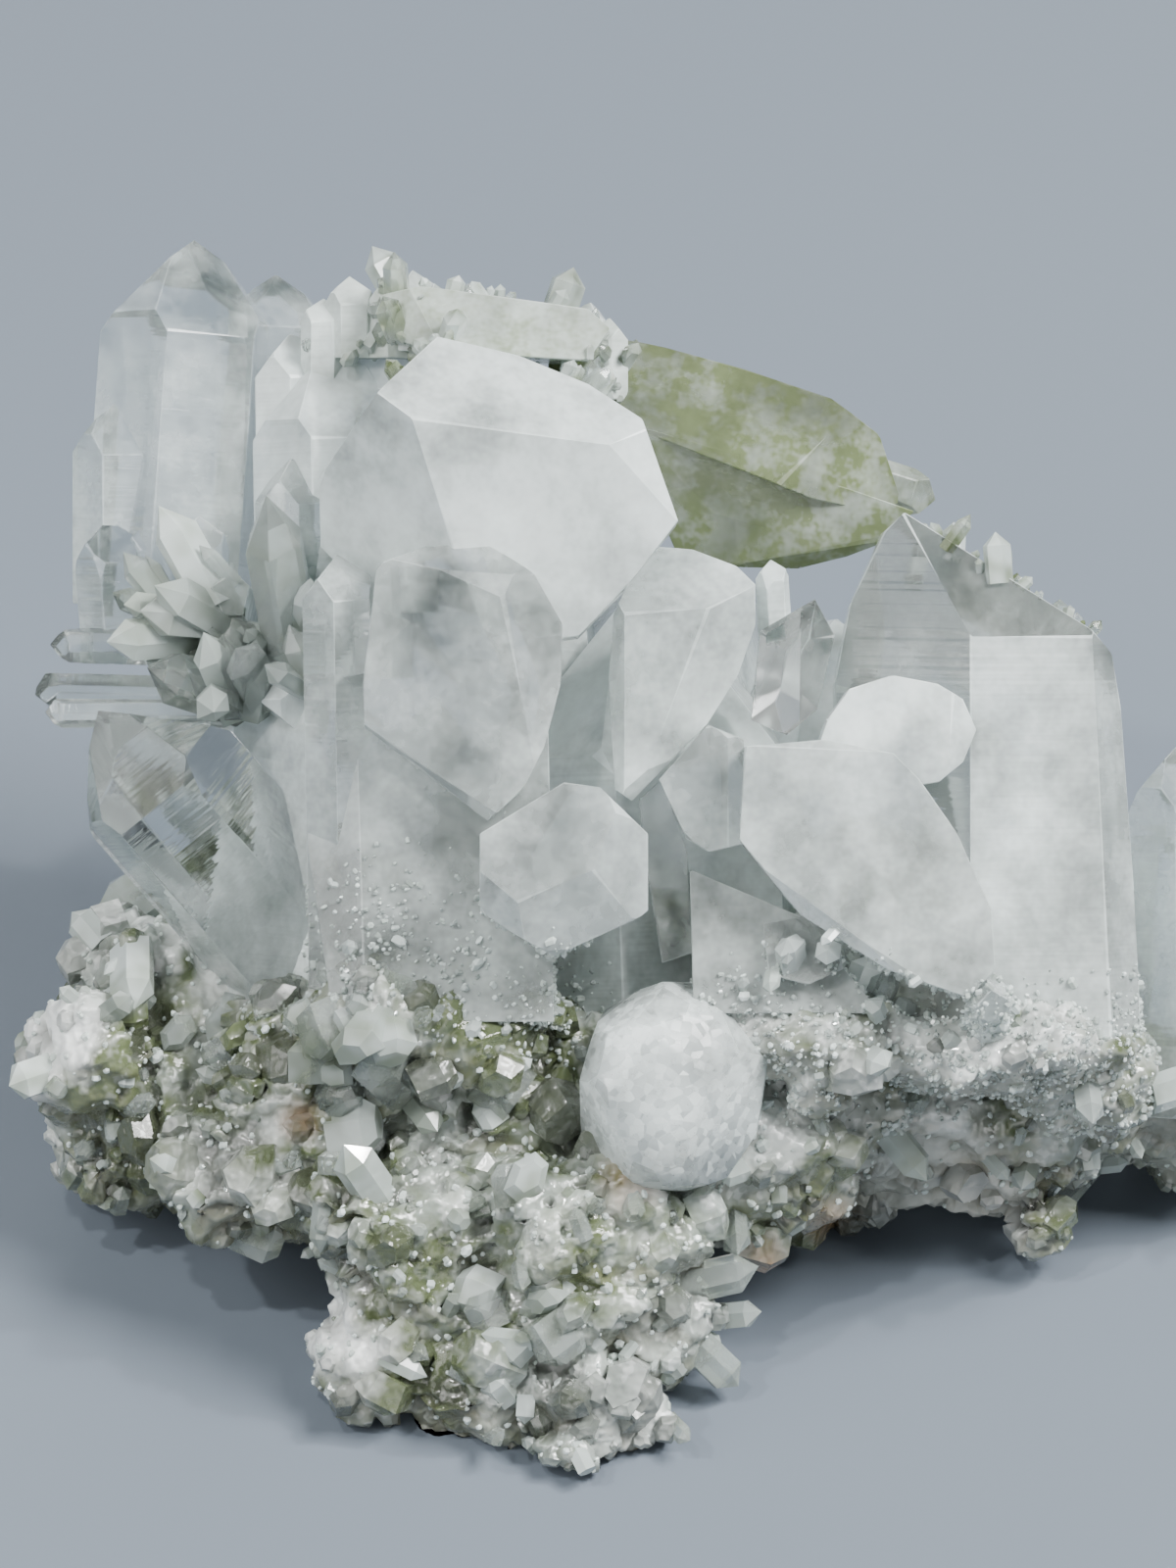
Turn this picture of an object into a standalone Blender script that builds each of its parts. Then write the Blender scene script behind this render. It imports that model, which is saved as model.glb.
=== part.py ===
"""A cluster of quartz crystals on its host rock, 77 mm across.

The specimen is first laid out face-on, in millimetres: u runs across to the right, v runs up
and w runs towards whoever looks at it. That face-on frame is then leaned back by LEAN, which is
how the specimen rests on the flat break under its rock, with +Z up.
"""

import math
import random

import bmesh
import bpy
from mathutils import Matrix, Vector

MM = 0.001
LEAN = math.radians(40)
LIFT = 26.5
GAP = 0.32
RHOMB_TILT = math.radians(38.2)
GOLDEN_TURN = math.radians(137.5)
BLANK_SIZE = 300.0
WELD = 0.02
FLAT = math.radians(0.3)
SEED = 11

# How far under its tip the six point faces of a crystal would meet its axis: every second one is
# a larger face. SHOULDER is how far the back edges of a crystal that looks at the viewer are cut.
LARGE_AND_SMALL = (0, -1.2, 0, -1.2, 0, -1.2)
REGULAR = (1, 1, 1, 1, 1, 1)
SHOULDER = 5

# A crystal is its root, its tip and its width across the flats, then its turn about its axis, its
# drops and its reach where they are not the usual ones.
CORE = [
    # Three stout crystals inside the cluster, from which the others grow.
    ((-14, -14, -6), (-10, 16, -4), 17, 12),
    ((4, -16, -6), (3, 12, -6), 18, 20),
    ((20, -18, -7), (15, 10, -7), 15, 5),
]
MIDDLE = [
    # The upright dagger left of the middle, a splinter and a bead.
    ((-14.5, -12, 4), (-14.8, 13.6, 8), 4.0, 25),
    ((11.2, 8.5, 2.5), (10.9, 13.4, 3.5), 1.8, 10),
    ((23.6, -14, 9), (23.5, -12.0, 14), 2.6, 10),
]

# A crystal that looks at the viewer is its outline face-on, then its faces in front, then the
# depth of its back. A face is a point on it and how steeply it falls away to the right and up.
FACED = [
    # The large milky crystal at the top.
    (((-8.9, 26.4), (-4.1, 25.3), (0, 23.6), (3.2, 21.5), (5.3, 15.5), (2.4, 11.8), (-0.6, 8.7),
      (-5.9, 8.0), (-11.8, 10.0), (-15.9, 14.1), (-15.9, 18.2), (-12.1, 23.2)),
     (((-10.3, 21.4, 13), (0.12, -0.25)), ((-10.3, 21.4, 13), (0.26, 0.82)),
      ((-10.3, 21.4, 13), (-0.77, -0.53)), ((1.2, 19.9, 11.25), (0.55, 0.16))), -5),
    # The rounded hexagon in the middle, and the broad clear crystal under it.
    (((-12.4, 12.9), (-9.4, 14.0), (-5.9, 14.1), (-3.2, 12.4), (-1.5, 9.4), (-1.6, 5.9),
      (-2.6, 2.1), (-3.8, -0.3), (-5.9, -2.2), (-7.6, -0.9), (-13.1, 3.2), (-13.2, 5.9)),
     (((-8.5, 6, 12), (-0.08, 0.05)), ((-4.6, 9.4, 12.1), (0.35, 0.13)),
      ((-8.5, 12.5, 11.7), (0.05, 0.66)), ((-10.1, 1.4, 12.1), (-0.7, -0.9))), -2),
    (((-16.6, 5.9), (-10, 8), (-2.4, 6), (-2.0, -14), (-15.0, -14), (-16.6, -4)),
     (((-12.5, 0, 8), (0.02, 0.12)), ((-13.6, 0, 8), (-0.6, 0.1))), -2),
    # The white one right of the middle, and the small hexagon below.
    (((2.9, 13.2), (4.0, 14.1), (6.2, 13.9), (8.8, 12.9), (9.9, 11.8), (9.9, 9.4), (8.9, 6.5),
      (7.1, 3.6), (2.6, -1.0), (1.6, -0.3), (1.2, 5.9), (1.5, 10.0)),
     (((6, 10.3, 8.5), (0.05, -0.1)), ((6, 10.3, 8.5), (0, 0.7)), ((7.35, 10.6, 8.4), (0.47, -0.26)),
      ((2.2, 5, 8.2), (-1.2, -0.1)), ((5.2, 2.4, 7.8), (0.75, -0.9))), -2),
    (((-1.4, 0.1), (0.7, -0.2), (3.5, -2.9), (3.5, -7.4), (2.6, -8.1), (0, -9.2), (-1.9, -10.1),
      (-4.7, -8.5), (-6.3, -7.4), (-6.3, -2.9)),
     (((0.3, -5, 15.5), (0, 0.08)), ((0.3, -5, 15.5), (0.21, -0.42)),
      ((0.3, -5, 15.5), (0.56, -0.14)), ((-4.2, -7, 15.5), (-0.5, -0.55))), -2),
    # Small ones between the hexagon and the shield, and a rounded one under it.
    (((2.8, -1.1), (4.4, 0.3), (5.9, -4.1), (6.2, -10), (3.6, -10.9), (3.2, -3.5)),
     (((4.6, -4, 6.5), (0.1, 0.1)),), -2),
    (((4.2, 0.3), (7.1, 3.5), (9.2, 2.6), (9.4, -3.5), (7.1, -4), (5.8, -3.2)),
     (((7, 0, 8.8), (-0.1, 0.1)), ((8.3, 0, 8.9), (0.5, 0.1))), -2),
    (((6.0, -5.2), (8.1, -4.0), (9.9, -4.7), (12.5, -7.8), (16.5, -9.5), (17.6, -11.2),
      (17.4, -13.5), (6.2, -13.5)),
     (((9.5, -8, 9), (0.05, 0.2)), ((9.0, -5.4, 8.6), (0.1, 0.9))), -2),
    (((10.3, -8.2), (12.6, -7.8), (14.7, -8.8), (15.0, -10.9), (12.9, -11.8), (10.6, -11.2)),
     (((12.6, -9.6, 10.2), (0.05, 0.25)),), 2),
]
RIGHT = [
    # The tall right-hand crystal, with its apex off to the left.
    (((19.6, 16.9), (23.5, 15.0), (26.5, 12.8), (29.8, 9.1), (30.9, 8.4), (31.6, 4.7),
      (32.4, -5.9), (32.9, -15.3), (15.3, -15.3), (14.7, 5.9), (15.6, 10.6), (17.6, 15.0)),
     (((22.6, 8.7, 8.5), (0.08, -0.02)), ((22.6, 8.7, 8.5), (0.08, 0.38)),
      ((22.6, 8.7, 8.5), (-0.67, -0.02)), ((29.8, 9.0, 7.9), (1.3, 0.04))), -6),
    # The oval and the milky shield.
    (((14.1, 3.8), (15.4, 5.6), (17.9, 6.4), (20.6, 5.9), (22.1, 5.0), (22.9, 3.2), (22.1, 1.3),
      (20.6, 0.1), (17.6, -0.4), (13.5, 0.6), (13.5, 2.1)),
     (((18, 3, 10.2), (0.1, 0.15)), ((21.3, 3, 9.9), (0.8, 0.1))), 0),
    (((9.2, 2.2), (13.8, 2.6), (17.9, 1.8), (19.4, 0.3), (21.6, -2.9), (23.6, -7.4),
      (23.8, -10.9), (22.2, -12.5), (17.6, -10.9), (12.5, -7.7), (8.9, -3.3)),
     (((16, -4.5, 12.5), (-0.04, 0.1)), ((13.2, -7.0, 12.7), (-0.7, -0.8)),
      ((14, 2.0, 11.8), (0, 0.9))), -1),
    # A small grey point.
    (((13.5, 11.0), (10.2, 9.1), (9.7, 3.8), (11.8, 2.9), (13.6, 4.4), (14.7, 8.8)),
     (((13.0, 7, 5.2), (0.4, 0.1)), ((12.2, 7, 5.2), (-0.35, 0.1))), -1),
]
TOP_LEFT = [
    # The tall clear crystal at the corner, with a shorter one on each side.
    ((-25.6, 10, -7), (-24.0, 33.2, -8), 9.6, 20),
    ((-28.2, 11, -6), (-28.2, 23.5, -5), 5.4, 10),
    ((-19.4, 15, -10), (-19.2, 31.3, -11), 5.6, 10),
    # The milky ones between it and the large crystal.
    ((-17.8, 16, -5), (-18.0, 27.4, -5), 4.4, 30),
    ((-15, 6, -4), (-15.3, 26.5, -4), 9.0, 15),
    ((-12.5, 10, -6), (-12.4, 28.3, -6), 7.0, 0),
    ((-17.6, 8, -1), (-17.8, 19.6, 0), 4.2, 40),
    # Three small clear points in front of it.
    ((-28.4, 7.5, -4), (-29.0, 16.0, -3), 3.9, 15),
    ((-26.2, 9, -4), (-26.7, 15.9, -3), 2.5, 15),
    ((-23.4, 9, -4), (-23.5, 16.2, -2.5), 3.2, 15),
    # The white one that points left.
    ((-14.0, 6, -1), (-21.2, 6.0, 0), 5.8, 30),
]
LEFT_SPRAY = [
    # Short crystals full of chlorite.
    ((-22, 9, -5), (-25.8, 10.8, 1.5), 3.4, 10),
    ((-21, 10, -4), (-22.5, 11.8, 2.0), 3.2, 40),
    ((-20, 8, -4), (-20.4, 8.4, 1.6), 3.0, 0),
    ((-22, 7, -4), (-23.6, 6.2, 1.6), 3.4, 20),
    ((-20, 6, -4), (-21.3, 5.3, 1.0), 2.8, 0),
    # Clear rods that point left.
    ((-20, 8.0, -2), (-32.4, 8.4, -1.5), 1.9, 10),
    ((-20, 5.2, -2), (-33.4, 5.5, -0.5), 2.4, 30),
    ((-22, 4.4, -1), (-32.6, 4.3, 0.3), 1.7, 0),
]
BACK = [
    # Crystals behind, which point up and away.
    ((-8, 4, -8), (-20, 15, -20), 8.5, 10),
    ((-4, 4, -8), (-6, 21, -18), 9.5, 25),
    ((4, 2, -8), (7, 12, -22), 10.5, 0),
    ((12, 0, -8), (17, 9, -20), 8.0, 15),
    ((18, -6, -8), (29, 0, -17), 7.5, 30),
    ((-12, -2, -8), (-27, 3, -15), 7.5, 5),
]
LOWER_LEFT = [
    ((-14, -13.5, -3), (-29.3, 4.4, 2), 9.4, -13),
]
EDGE = [
    ((36.5, -20, -5), (36.2, 2.9, -4), 6.6, 15),
    ((38.5, -20, -8), (39.0, -2.0, -9), 5.0, 5),
]
PLATES = [
    # The small green point at the end of the plates.
    ((14, 19.5, -7), (21.2, 17.3, -8), 2.6, 0),
]
GREEN_FACED = [
    # The two long green plates behind the top, and the crust along the top edge.
    (((-2.4, 27.6), (2.9, 26.9), (9.4, 25.1), (14.7, 23.3), (17.8, 21.0), (19.9, 17.3),
      (19.1, 16.1), (13.5, 17.2), (3.4, 21.2), (-2.4, 23.5)),
     (((8, 22, -2.6), (0.05, 0.35)), ((13, 19.6, -2.0), (0.45, -0.05))), -9),
    (((2.9, 21.6), (5.9, 20.8), (13.5, 18.6), (19.7, 16.5), (18.1, 14.6), (15.9, 13.1),
      (12.6, 12.1), (8.5, 13.0), (5.3, 14.1), (3.8, 17.6)),
     (((10, 16, -3.4), (0.02, -0.25)), ((12, 14.2, -3.6), (0.15, -1.0))), -9),
    (((-12.5, 29.3), (-10.0, 29.8), (-4.7, 29.1), (0, 28.4), (1.3, 27.2), (0, 25.2),
      (-8.9, 25.8), (-11.8, 26.6)),
     (((-6, 28, 2.5), (0, 0.6)), ((-10, 27.6, 2.5), (-0.6, 0.3))), -8),
]

# The small green points along the top edge: across, height, width.
FRINGE = [(-16.0, 29.4, 2.4), (-14.4, 30.7, 2.8), (-12.0, 30.7, 2.8), (-10.6, 31.1, 3.0),
          (-9.3, 30.3, 2.4), (-6.9, 29.9, 2.8), (0.1, 29.2, 1.8), (1.3, 28.2, 2.2)]
FRINGE_LENGTH = 5.0
FRINGE_DEPTH = -3.5

# The rounded crystal in front: centre, half widths, faces.
NODULE = ((4.9, -18.0, 7.5), (5.9, 6.2, 6.0), 34)
NODULE_ROUGH = 0.04

# The lumps of the rock: centre, then half widths.
LUMPS = [
    # The body, the lobe at the left with its plates and its white knob.
    ((-2, -19, -8), (27, 9, 13)),
    ((-24, -18, -8), (9.5, 8.5, 9)),
    ((-27, -11, -5), (4.5, 2.8, 5)),
    ((-30.3, -17.3, -2), (3.8, 3.3, 3.8)),
    # The mounds in front, down to the tip that comes towards the viewer.
    ((-14, -17, 1), (9, 5.5, 6)),
    ((-5, -19.5, 2), (7, 4, 5)),
    ((-18, -23, 0), (8, 5, 6)),
    ((-10, -26, 3), (7, 5, 6)),
    ((0, -26, 4), (8, 5.5, 6)),
    ((-2, -31.5, 3.5), (10, 5.5, 5.5)),
    ((-12.5, -33.8, 3), (4, 4, 4)),
    ((-5.5, -35.5, 4), (5.5, 3.6, 4.5)),
    ((-0.5, -36.8, 5), (4.6, 4.0, 4)),
    # The lobe at the right with its round knob, and the rubble at the feet of the crystals.
    ((8, -22, 0), (8, 6, 7)),
    ((19, -19, -8), (10, 6.5, 10)),
    ((26, -20, -6), (6, 6, 7)),
    ((27.2, -26.8, -4), (1.8, 1.8, 1.8)),
    ((31, -18, -6), (4.5, 4.5, 6)),
    ((24, -15.8, 5.5), (9, 3, 3.8)),
    ((13.5, -14.8, 6.5), (6, 3, 4)),
    ((29.5, -17.0, 1), (5, 3.2, 5)),
    ((37, -19.5, -9), (5, 4.5, 6)),
    # The back.
    ((0, -14, -19), (24, 8, 9)),
    ((-20, -10, -14), (9, 8, 8)),
    ((20, -12, -15), (11, 8, 9)),
    # What hides the foot of the broad clear crystal.
    ((-9.5, -14.4, 6), (8.5, 3, 3.6)),
]
LUMP_FACES = 26
LUMP_ROUGH = 0.14
PLAIN_LUMPS = (0, 2, 16)
LEDGES_EACH = 5
LEDGE_SEED = 5
LEDGE_FACES = 12
LEDGE_ROUGH = 0.25
LEDGE_DEPTH = 0.72
LEDGE_SIZES = (1.1, 2.9)


def placed(point):
    """A face-on point (u, v, w) in the frame in which the specimen rests."""
    u, v, w = point
    return Vector((u,
                   v * math.sin(LEAN) - w * math.cos(LEAN),
                   v * math.cos(LEAN) + w * math.sin(LEAN) + LIFT))


def turned(direction):
    """A face-on direction in the frame in which the specimen rests."""
    return placed(direction) - placed((0, 0, 0))


def quartz(root, tip, across, turn=0, drops=LARGE_AND_SMALL, reach=REGULAR):
    """Planes (normal, distance) of one six-sided crystal with a six-faced point.

    Face 0 of the prism looks as much towards the viewer as the axis lets it, then the others
    follow to its right every 60 degrees, all turned by turn. Each has a point face above it.
    drops says how far under the tip that face would meet the axis, and reach scales the
    distance of each prism face from the axis.
    """
    start, end = placed(root), placed(tip)
    axis = (end - start).normalized()
    side = axis.cross(turned((0, 0, 1))).normalized()
    front = side.cross(axis)
    planes = [(-axis, -axis.dot(start))]
    for k in range(6):
        angle = math.radians(60 * k + turn)
        out = front * math.cos(angle) + side * math.sin(angle)
        planes.append((out, out.dot(start) + across / 2 * reach[k]))
        slope = out * math.cos(RHOMB_TILT) + axis * math.sin(RHOMB_TILT)
        planes.append((slope, slope.dot(end - axis * drops[k])))
    return planes


def faced(outline, faces, back):
    """Planes of a crystal that looks at the viewer, with its back edges taken off."""
    middle = sum((Vector(corner) for corner in outline), Vector((0, 0))) / len(outline)
    planes = []
    for corner, after in zip(outline, outline[1:] + outline[:1]):
        out = (Vector(after) - Vector(corner)).orthogonal().normalized()
        if out.dot(Vector(corner) - middle) < 0:
            out.negate()
        for depth, slope in ((0, 0), (back + SHOULDER, -1)):
            normal = turned((out.x, out.y, slope)).normalized()
            planes.append((normal, normal.dot(placed((*corner, depth)))))
    for point, (fall_right, fall_up) in faces:
        normal = turned((fall_right, fall_up, 1)).normalized()
        planes.append((normal, normal.dot(placed(point))))
    rear = turned((0, 0, -1))
    planes.append((rear, rear.dot(placed((0, 0, back)))))
    return planes


def lump(centre, radii, faces, dice, rough):
    """Planes of a broken lump of rock that about fills an ellipsoid."""
    middle = placed(centre)
    axes = [turned(a) for a in ((1, 0, 0), (0, 1, 0), (0, 0, 1))]
    planes = []
    for k in range(faces):
        height = 1 - (2 * k + 1) / faces
        angle = k * GOLDEN_TURN + dice.uniform(-0.3, 0.3)
        ring = math.sqrt(1 - height * height)
        spot = (ring * math.cos(angle), ring * math.sin(angle), height)
        normal = sum((axes[i] * (spot[i] / radii[i]) for i in range(3)), Vector()).normalized()
        span = math.sqrt(sum((normal.dot(axes[i]) * radii[i]) ** 2 for i in range(3)))
        planes.append((normal, normal.dot(middle) + span * (1 - dice.uniform(0, rough))))
    return planes


def convex(name, planes, grow=0.0):
    """The convex solid inside all the planes, moved outwards by grow, as an object."""
    bm = bmesh.new()
    bmesh.ops.create_cube(bm, size=BLANK_SIZE)
    for normal, distance in planes:
        cut = bmesh.ops.bisect_plane(bm, geom=bm.verts[:] + bm.edges[:] + bm.faces[:], dist=1e-5,
                                     plane_co=normal * (distance + grow), plane_no=normal,
                                     clear_outer=True)
        rim = [item for item in cut["geom_cut"] if isinstance(item, bmesh.types.BMEdge)]
        if rim:
            bmesh.ops.contextual_create(bm, geom=rim)
    bmesh.ops.remove_doubles(bm, verts=bm.verts[:], dist=WELD)
    bmesh.ops.delete(bm, geom=bm.edges[:], context="EDGES_FACES")
    bmesh.ops.convex_hull(bm, input=bm.verts[:])
    bmesh.ops.dissolve_limit(bm, angle_limit=FLAT, verts=bm.verts[:], edges=bm.edges[:])
    bmesh.ops.recalc_face_normals(bm, faces=bm.faces[:])
    bm.transform(Matrix.Scale(MM, 4))
    mesh = bpy.data.meshes.new(name)
    bm.to_mesh(mesh)
    bm.free()
    obj = bpy.data.objects.new(name, mesh)
    bpy.context.scene.collection.objects.link(obj)
    return obj


def combined(base, others, operation):
    """base with the other objects joined to it or cut out of it; the others are used up."""
    group = bpy.data.collections.new("operands")
    bpy.context.scene.collection.children.link(group)
    for other in others:
        group.objects.link(other)
    boolean = base.modifiers.new("boolean", "BOOLEAN")
    boolean.operation = operation
    boolean.operand_type = "COLLECTION"
    boolean.collection = group
    boolean.solver = "EXACT"
    depsgraph = bpy.context.evaluated_depsgraph_get()
    mesh = bpy.data.meshes.new_from_object(base.evaluated_get(depsgraph))
    base.modifiers.clear()
    base.data = mesh
    for other in others:
        bpy.data.objects.remove(other)
    bpy.data.collections.remove(group)
    return base


def collapse_short_edges(bm):
    """Merge the ends of each very short edge where the surface stays closed."""
    short = [edge for edge in bm.edges if edge.calc_length() < WELD * MM]
    while short:
        edge = short.pop()
        if not edge.is_valid:
            continue
        first, second = edge.verts
        around = [{e.other_vert(v) for e in v.link_edges} for v in (first, second)]
        if len(around[0] & around[1]) == 2:
            bmesh.ops.pointmerge(bm, verts=[first, second], merge_co=first.co)


def keep_largest_body(obj):
    """Leave only the largest connected body of the mesh, and flatten its faces."""
    bm = bmesh.new()
    bm.from_mesh(obj.data)
    waiting = set(bm.verts)
    bodies = []
    while waiting:
        body = [waiting.pop()]
        for vert in body:
            near = [edge.other_vert(vert) for edge in vert.link_edges]
            fresh = [v for v in near if v in waiting]
            waiting.difference_update(fresh)
            body.extend(fresh)
        bodies.append(body)
    bodies.sort(key=len)
    for crumb in bodies[:-1]:
        bmesh.ops.delete(bm, geom=crumb, context="VERTS")
    bmesh.ops.dissolve_limit(bm, angle_limit=FLAT, verts=bm.verts[:], edges=bm.edges[:])
    bmesh.ops.triangulate(bm, faces=bm.faces[:])
    collapse_short_edges(bm)
    bm.to_mesh(obj.data)
    bm.free()


def material(name, colour, roughness):
    """A plain stone finish."""
    made = bpy.data.materials.new(name)
    made.use_nodes = True
    surface = made.node_tree.nodes["Principled BSDF"]
    surface.inputs["Base Color"].default_value = (*colour, 1)
    surface.inputs["Roughness"].default_value = roughness
    surface.inputs["Metallic"].default_value = 0.0
    return made


def grown(*groups):
    """Planes of every crystal in the groups."""
    return [quartz(*crystal) for group in groups for crystal in group]


def fringe():
    """Planes of the small green points in their row."""
    return [quartz((u, top - FRINGE_LENGTH, FRINGE_DEPTH), (u, top, FRINGE_DEPTH), width, 13 * i)
            for i, (u, top, width) in enumerate(FRINGE)]


def rock_lumps():
    """The large lumps, and small ledges seated on the ones in front."""
    dice = random.Random(SEED)
    lumps = [lump(centre, radii, LUMP_FACES, dice, LUMP_ROUGH) for centre, radii in LUMPS]
    dice = random.Random(LEDGE_SEED)
    hosts = [host for i, host in enumerate(LUMPS) if i not in PLAIN_LUMPS]
    for centre, radii in hosts:
        for _ in range(LEDGES_EACH):
            turn = dice.uniform(0, 2 * math.pi)
            height = dice.uniform(-0.6, 0.9)
            ring = math.sqrt(1 - height * height)
            spot = (ring * math.cos(turn), ring * math.sin(turn), height)
            seat = [centre[i] + LEDGE_DEPTH * radii[i] * spot[i] for i in range(3)]
            size = dice.uniform(*LEDGE_SIZES)
            spread = [size * dice.uniform(0.8, 1.3) for _ in range(3)]
            lumps.append(lump(seat, spread, LEDGE_FACES, dice, LEDGE_ROUGH))
    return lumps


def build_node(name, crystals, finish, neighbours):
    """One solid of crystals that overlap, clear of the crystals of its neighbours."""
    bodies = [convex(f"{name}_{i}", planes) for i, planes in enumerate(crystals)]
    whole = combined(bodies[0], bodies[1:], "UNION") if len(bodies) > 1 else bodies[0]
    if neighbours:
        cutters = [convex("cutter", planes, GAP) for planes in neighbours]
        whole = combined(whole, cutters, "DIFFERENCE")
    keep_largest_body(whole)
    whole.name = name
    whole.data.materials.clear()
    whole.data.materials.append(finish)
    return whole


def build_rock(name, finish, crystals):
    """The rock: lumps fused together, with sockets for the crystals and a flat break below."""
    bodies = [convex(f"{name}_{i}", planes) for i, planes in enumerate(rock_lumps())]
    rock = combined(bodies[0], bodies[1:], "UNION")
    cutters = [convex("cutter", planes, GAP) for planes in crystals]
    floor = convex("floor", [(Vector((0, 0, 1)), 0.0)])
    rock = combined(rock, cutters, "DIFFERENCE")
    rock = combined(rock, [floor], "DIFFERENCE")
    keep_largest_body(rock)
    rock.name = name
    rock.data.materials.clear()
    rock.data.materials.append(finish)
    return rock


def main():
    for old in list(bpy.data.objects):
        bpy.data.objects.remove(old)
    milky = material("milky_quartz", (0.62, 0.66, 0.66), 0.25)
    clear = material("clear_quartz", (0.5, 0.56, 0.56), 0.1)
    green = material("chlorite_quartz", (0.36, 0.4, 0.27), 0.35)
    grey = material("matrix_rock", (0.5, 0.53, 0.47), 0.7)
    cluster = grown(CORE, MIDDLE, TOP_LEFT, LEFT_SPRAY, BACK)
    cluster += [faced(*crystal) for crystal in FACED + RIGHT]
    lower_left = grown(LOWER_LEFT)
    edge = grown(EDGE)
    nodule = [lump(*NODULE, random.Random(SEED), NODULE_ROUGH)]
    build_node("quartz_cluster", cluster, milky, [])
    build_node("lower_left_crystal", lower_left, clear, cluster)
    build_node("edge_crystals", edge, clear, cluster)
    plates = grown(PLATES) + [faced(*crystal) for crystal in GREEN_FACED]
    build_node("chlorite_crystals", plates + fringe(), green, cluster)
    build_node("rounded_crystal", nodule, milky, cluster)
    build_rock("matrix", grey, cluster + lower_left + edge + nodule)


main()
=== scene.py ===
"""Looks of a quartz crystal cluster on its rock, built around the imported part."""

import math
import random
from dataclasses import dataclass

import bmesh
import bpy
import numpy as np
from bpy.props import FloatProperty, FloatVectorProperty, IntProperty, PointerProperty
from bpy.types import Operator, Panel, PropertyGroup
from mathutils import Matrix, Vector
from mathutils.kdtree import KDTree


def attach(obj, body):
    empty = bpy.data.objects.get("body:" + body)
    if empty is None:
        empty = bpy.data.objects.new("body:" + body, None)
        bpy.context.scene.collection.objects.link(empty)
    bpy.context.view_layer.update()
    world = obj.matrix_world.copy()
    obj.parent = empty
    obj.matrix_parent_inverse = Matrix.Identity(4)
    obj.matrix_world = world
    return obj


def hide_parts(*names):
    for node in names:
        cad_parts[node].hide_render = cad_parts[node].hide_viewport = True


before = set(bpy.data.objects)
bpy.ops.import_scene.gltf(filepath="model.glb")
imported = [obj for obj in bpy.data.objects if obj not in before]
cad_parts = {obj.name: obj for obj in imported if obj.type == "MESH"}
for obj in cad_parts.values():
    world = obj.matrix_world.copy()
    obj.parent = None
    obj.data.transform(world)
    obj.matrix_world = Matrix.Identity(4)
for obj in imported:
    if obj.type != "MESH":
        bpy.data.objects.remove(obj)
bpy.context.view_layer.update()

bl_info = {
    "name": "Quartz Cluster",
    "version": (1, 0, 0),
    "blender": (4, 5, 0),
    "location": "View3D > Sidebar > Quartz",
    "description": "Grows a quartz crystal cluster on its rock",
    "category": "Object",
}

# Lengths in the tables are in millimetres, in the face-on frame: u across, v up, w to the viewer.
MM = 0.001
LEAN = math.radians(40)
LIFT = 26.5
RHOMB_TILT = math.radians(38.2)
GOLDEN_TURN = math.radians(137.5)
BLANK_SIZE = 300.0
WELD = 0.02
FLAT = math.radians(0.3)
SEED = 11

LARGE_AND_SMALL = (0, -1.2, 0, -1.2, 0, -1.2)
REGULAR = (1, 1, 1, 1, 1, 1)
SHOULDER = 5

CAMERA_DISTANCE = 500.0
PHOTO_HEIGHT = 1600
PIXELS_PER_MM = 17.0
SENSOR_HEIGHT = 24.0


def placed(point):
    """A face-on point (u, v, w) in the frame in which the specimen rests, in millimetres."""
    u, v, w = point
    return Vector((u,
                   v * math.sin(LEAN) - w * math.cos(LEAN),
                   v * math.cos(LEAN) + w * math.sin(LEAN) + LIFT))


def turned(direction):
    """A face-on direction in the frame in which the specimen rests."""
    return placed(direction) - placed((0, 0, 0))


@dataclass(frozen=True)
class Crystal:
    """A six-sided crystal with a six-faced point: where it grows, its width and its looks."""

    root: tuple
    tip: tuple
    across: float
    turn: float = 0
    drops: tuple = LARGE_AND_SMALL
    reach: tuple = REGULAR
    milk: float = 0.6
    tone: float = 1.0
    green: float = 0.0

    def axis(self):
        return (placed(self.tip) - placed(self.root)).normalized()

    def painted_shade_faces(self):
        return ()

    def planes(self):
        """Its planes, each a normal and a distance."""
        start, end, axis = placed(self.root), placed(self.tip), self.axis()
        side = axis.cross(turned((0, 0, 1))).normalized()
        front = side.cross(axis)
        planes = [(-axis, -axis.dot(start))]
        for k in range(6):
            angle = math.radians(60 * k + self.turn)
            out = front * math.cos(angle) + side * math.sin(angle)
            planes.append((out, out.dot(start) + self.across / 2 * self.reach[k]))
            slope = out * math.cos(RHOMB_TILT) + axis * math.sin(RHOMB_TILT)
            planes.append((slope, slope.dot(end - axis * self.drops[k])))
        return planes


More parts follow.
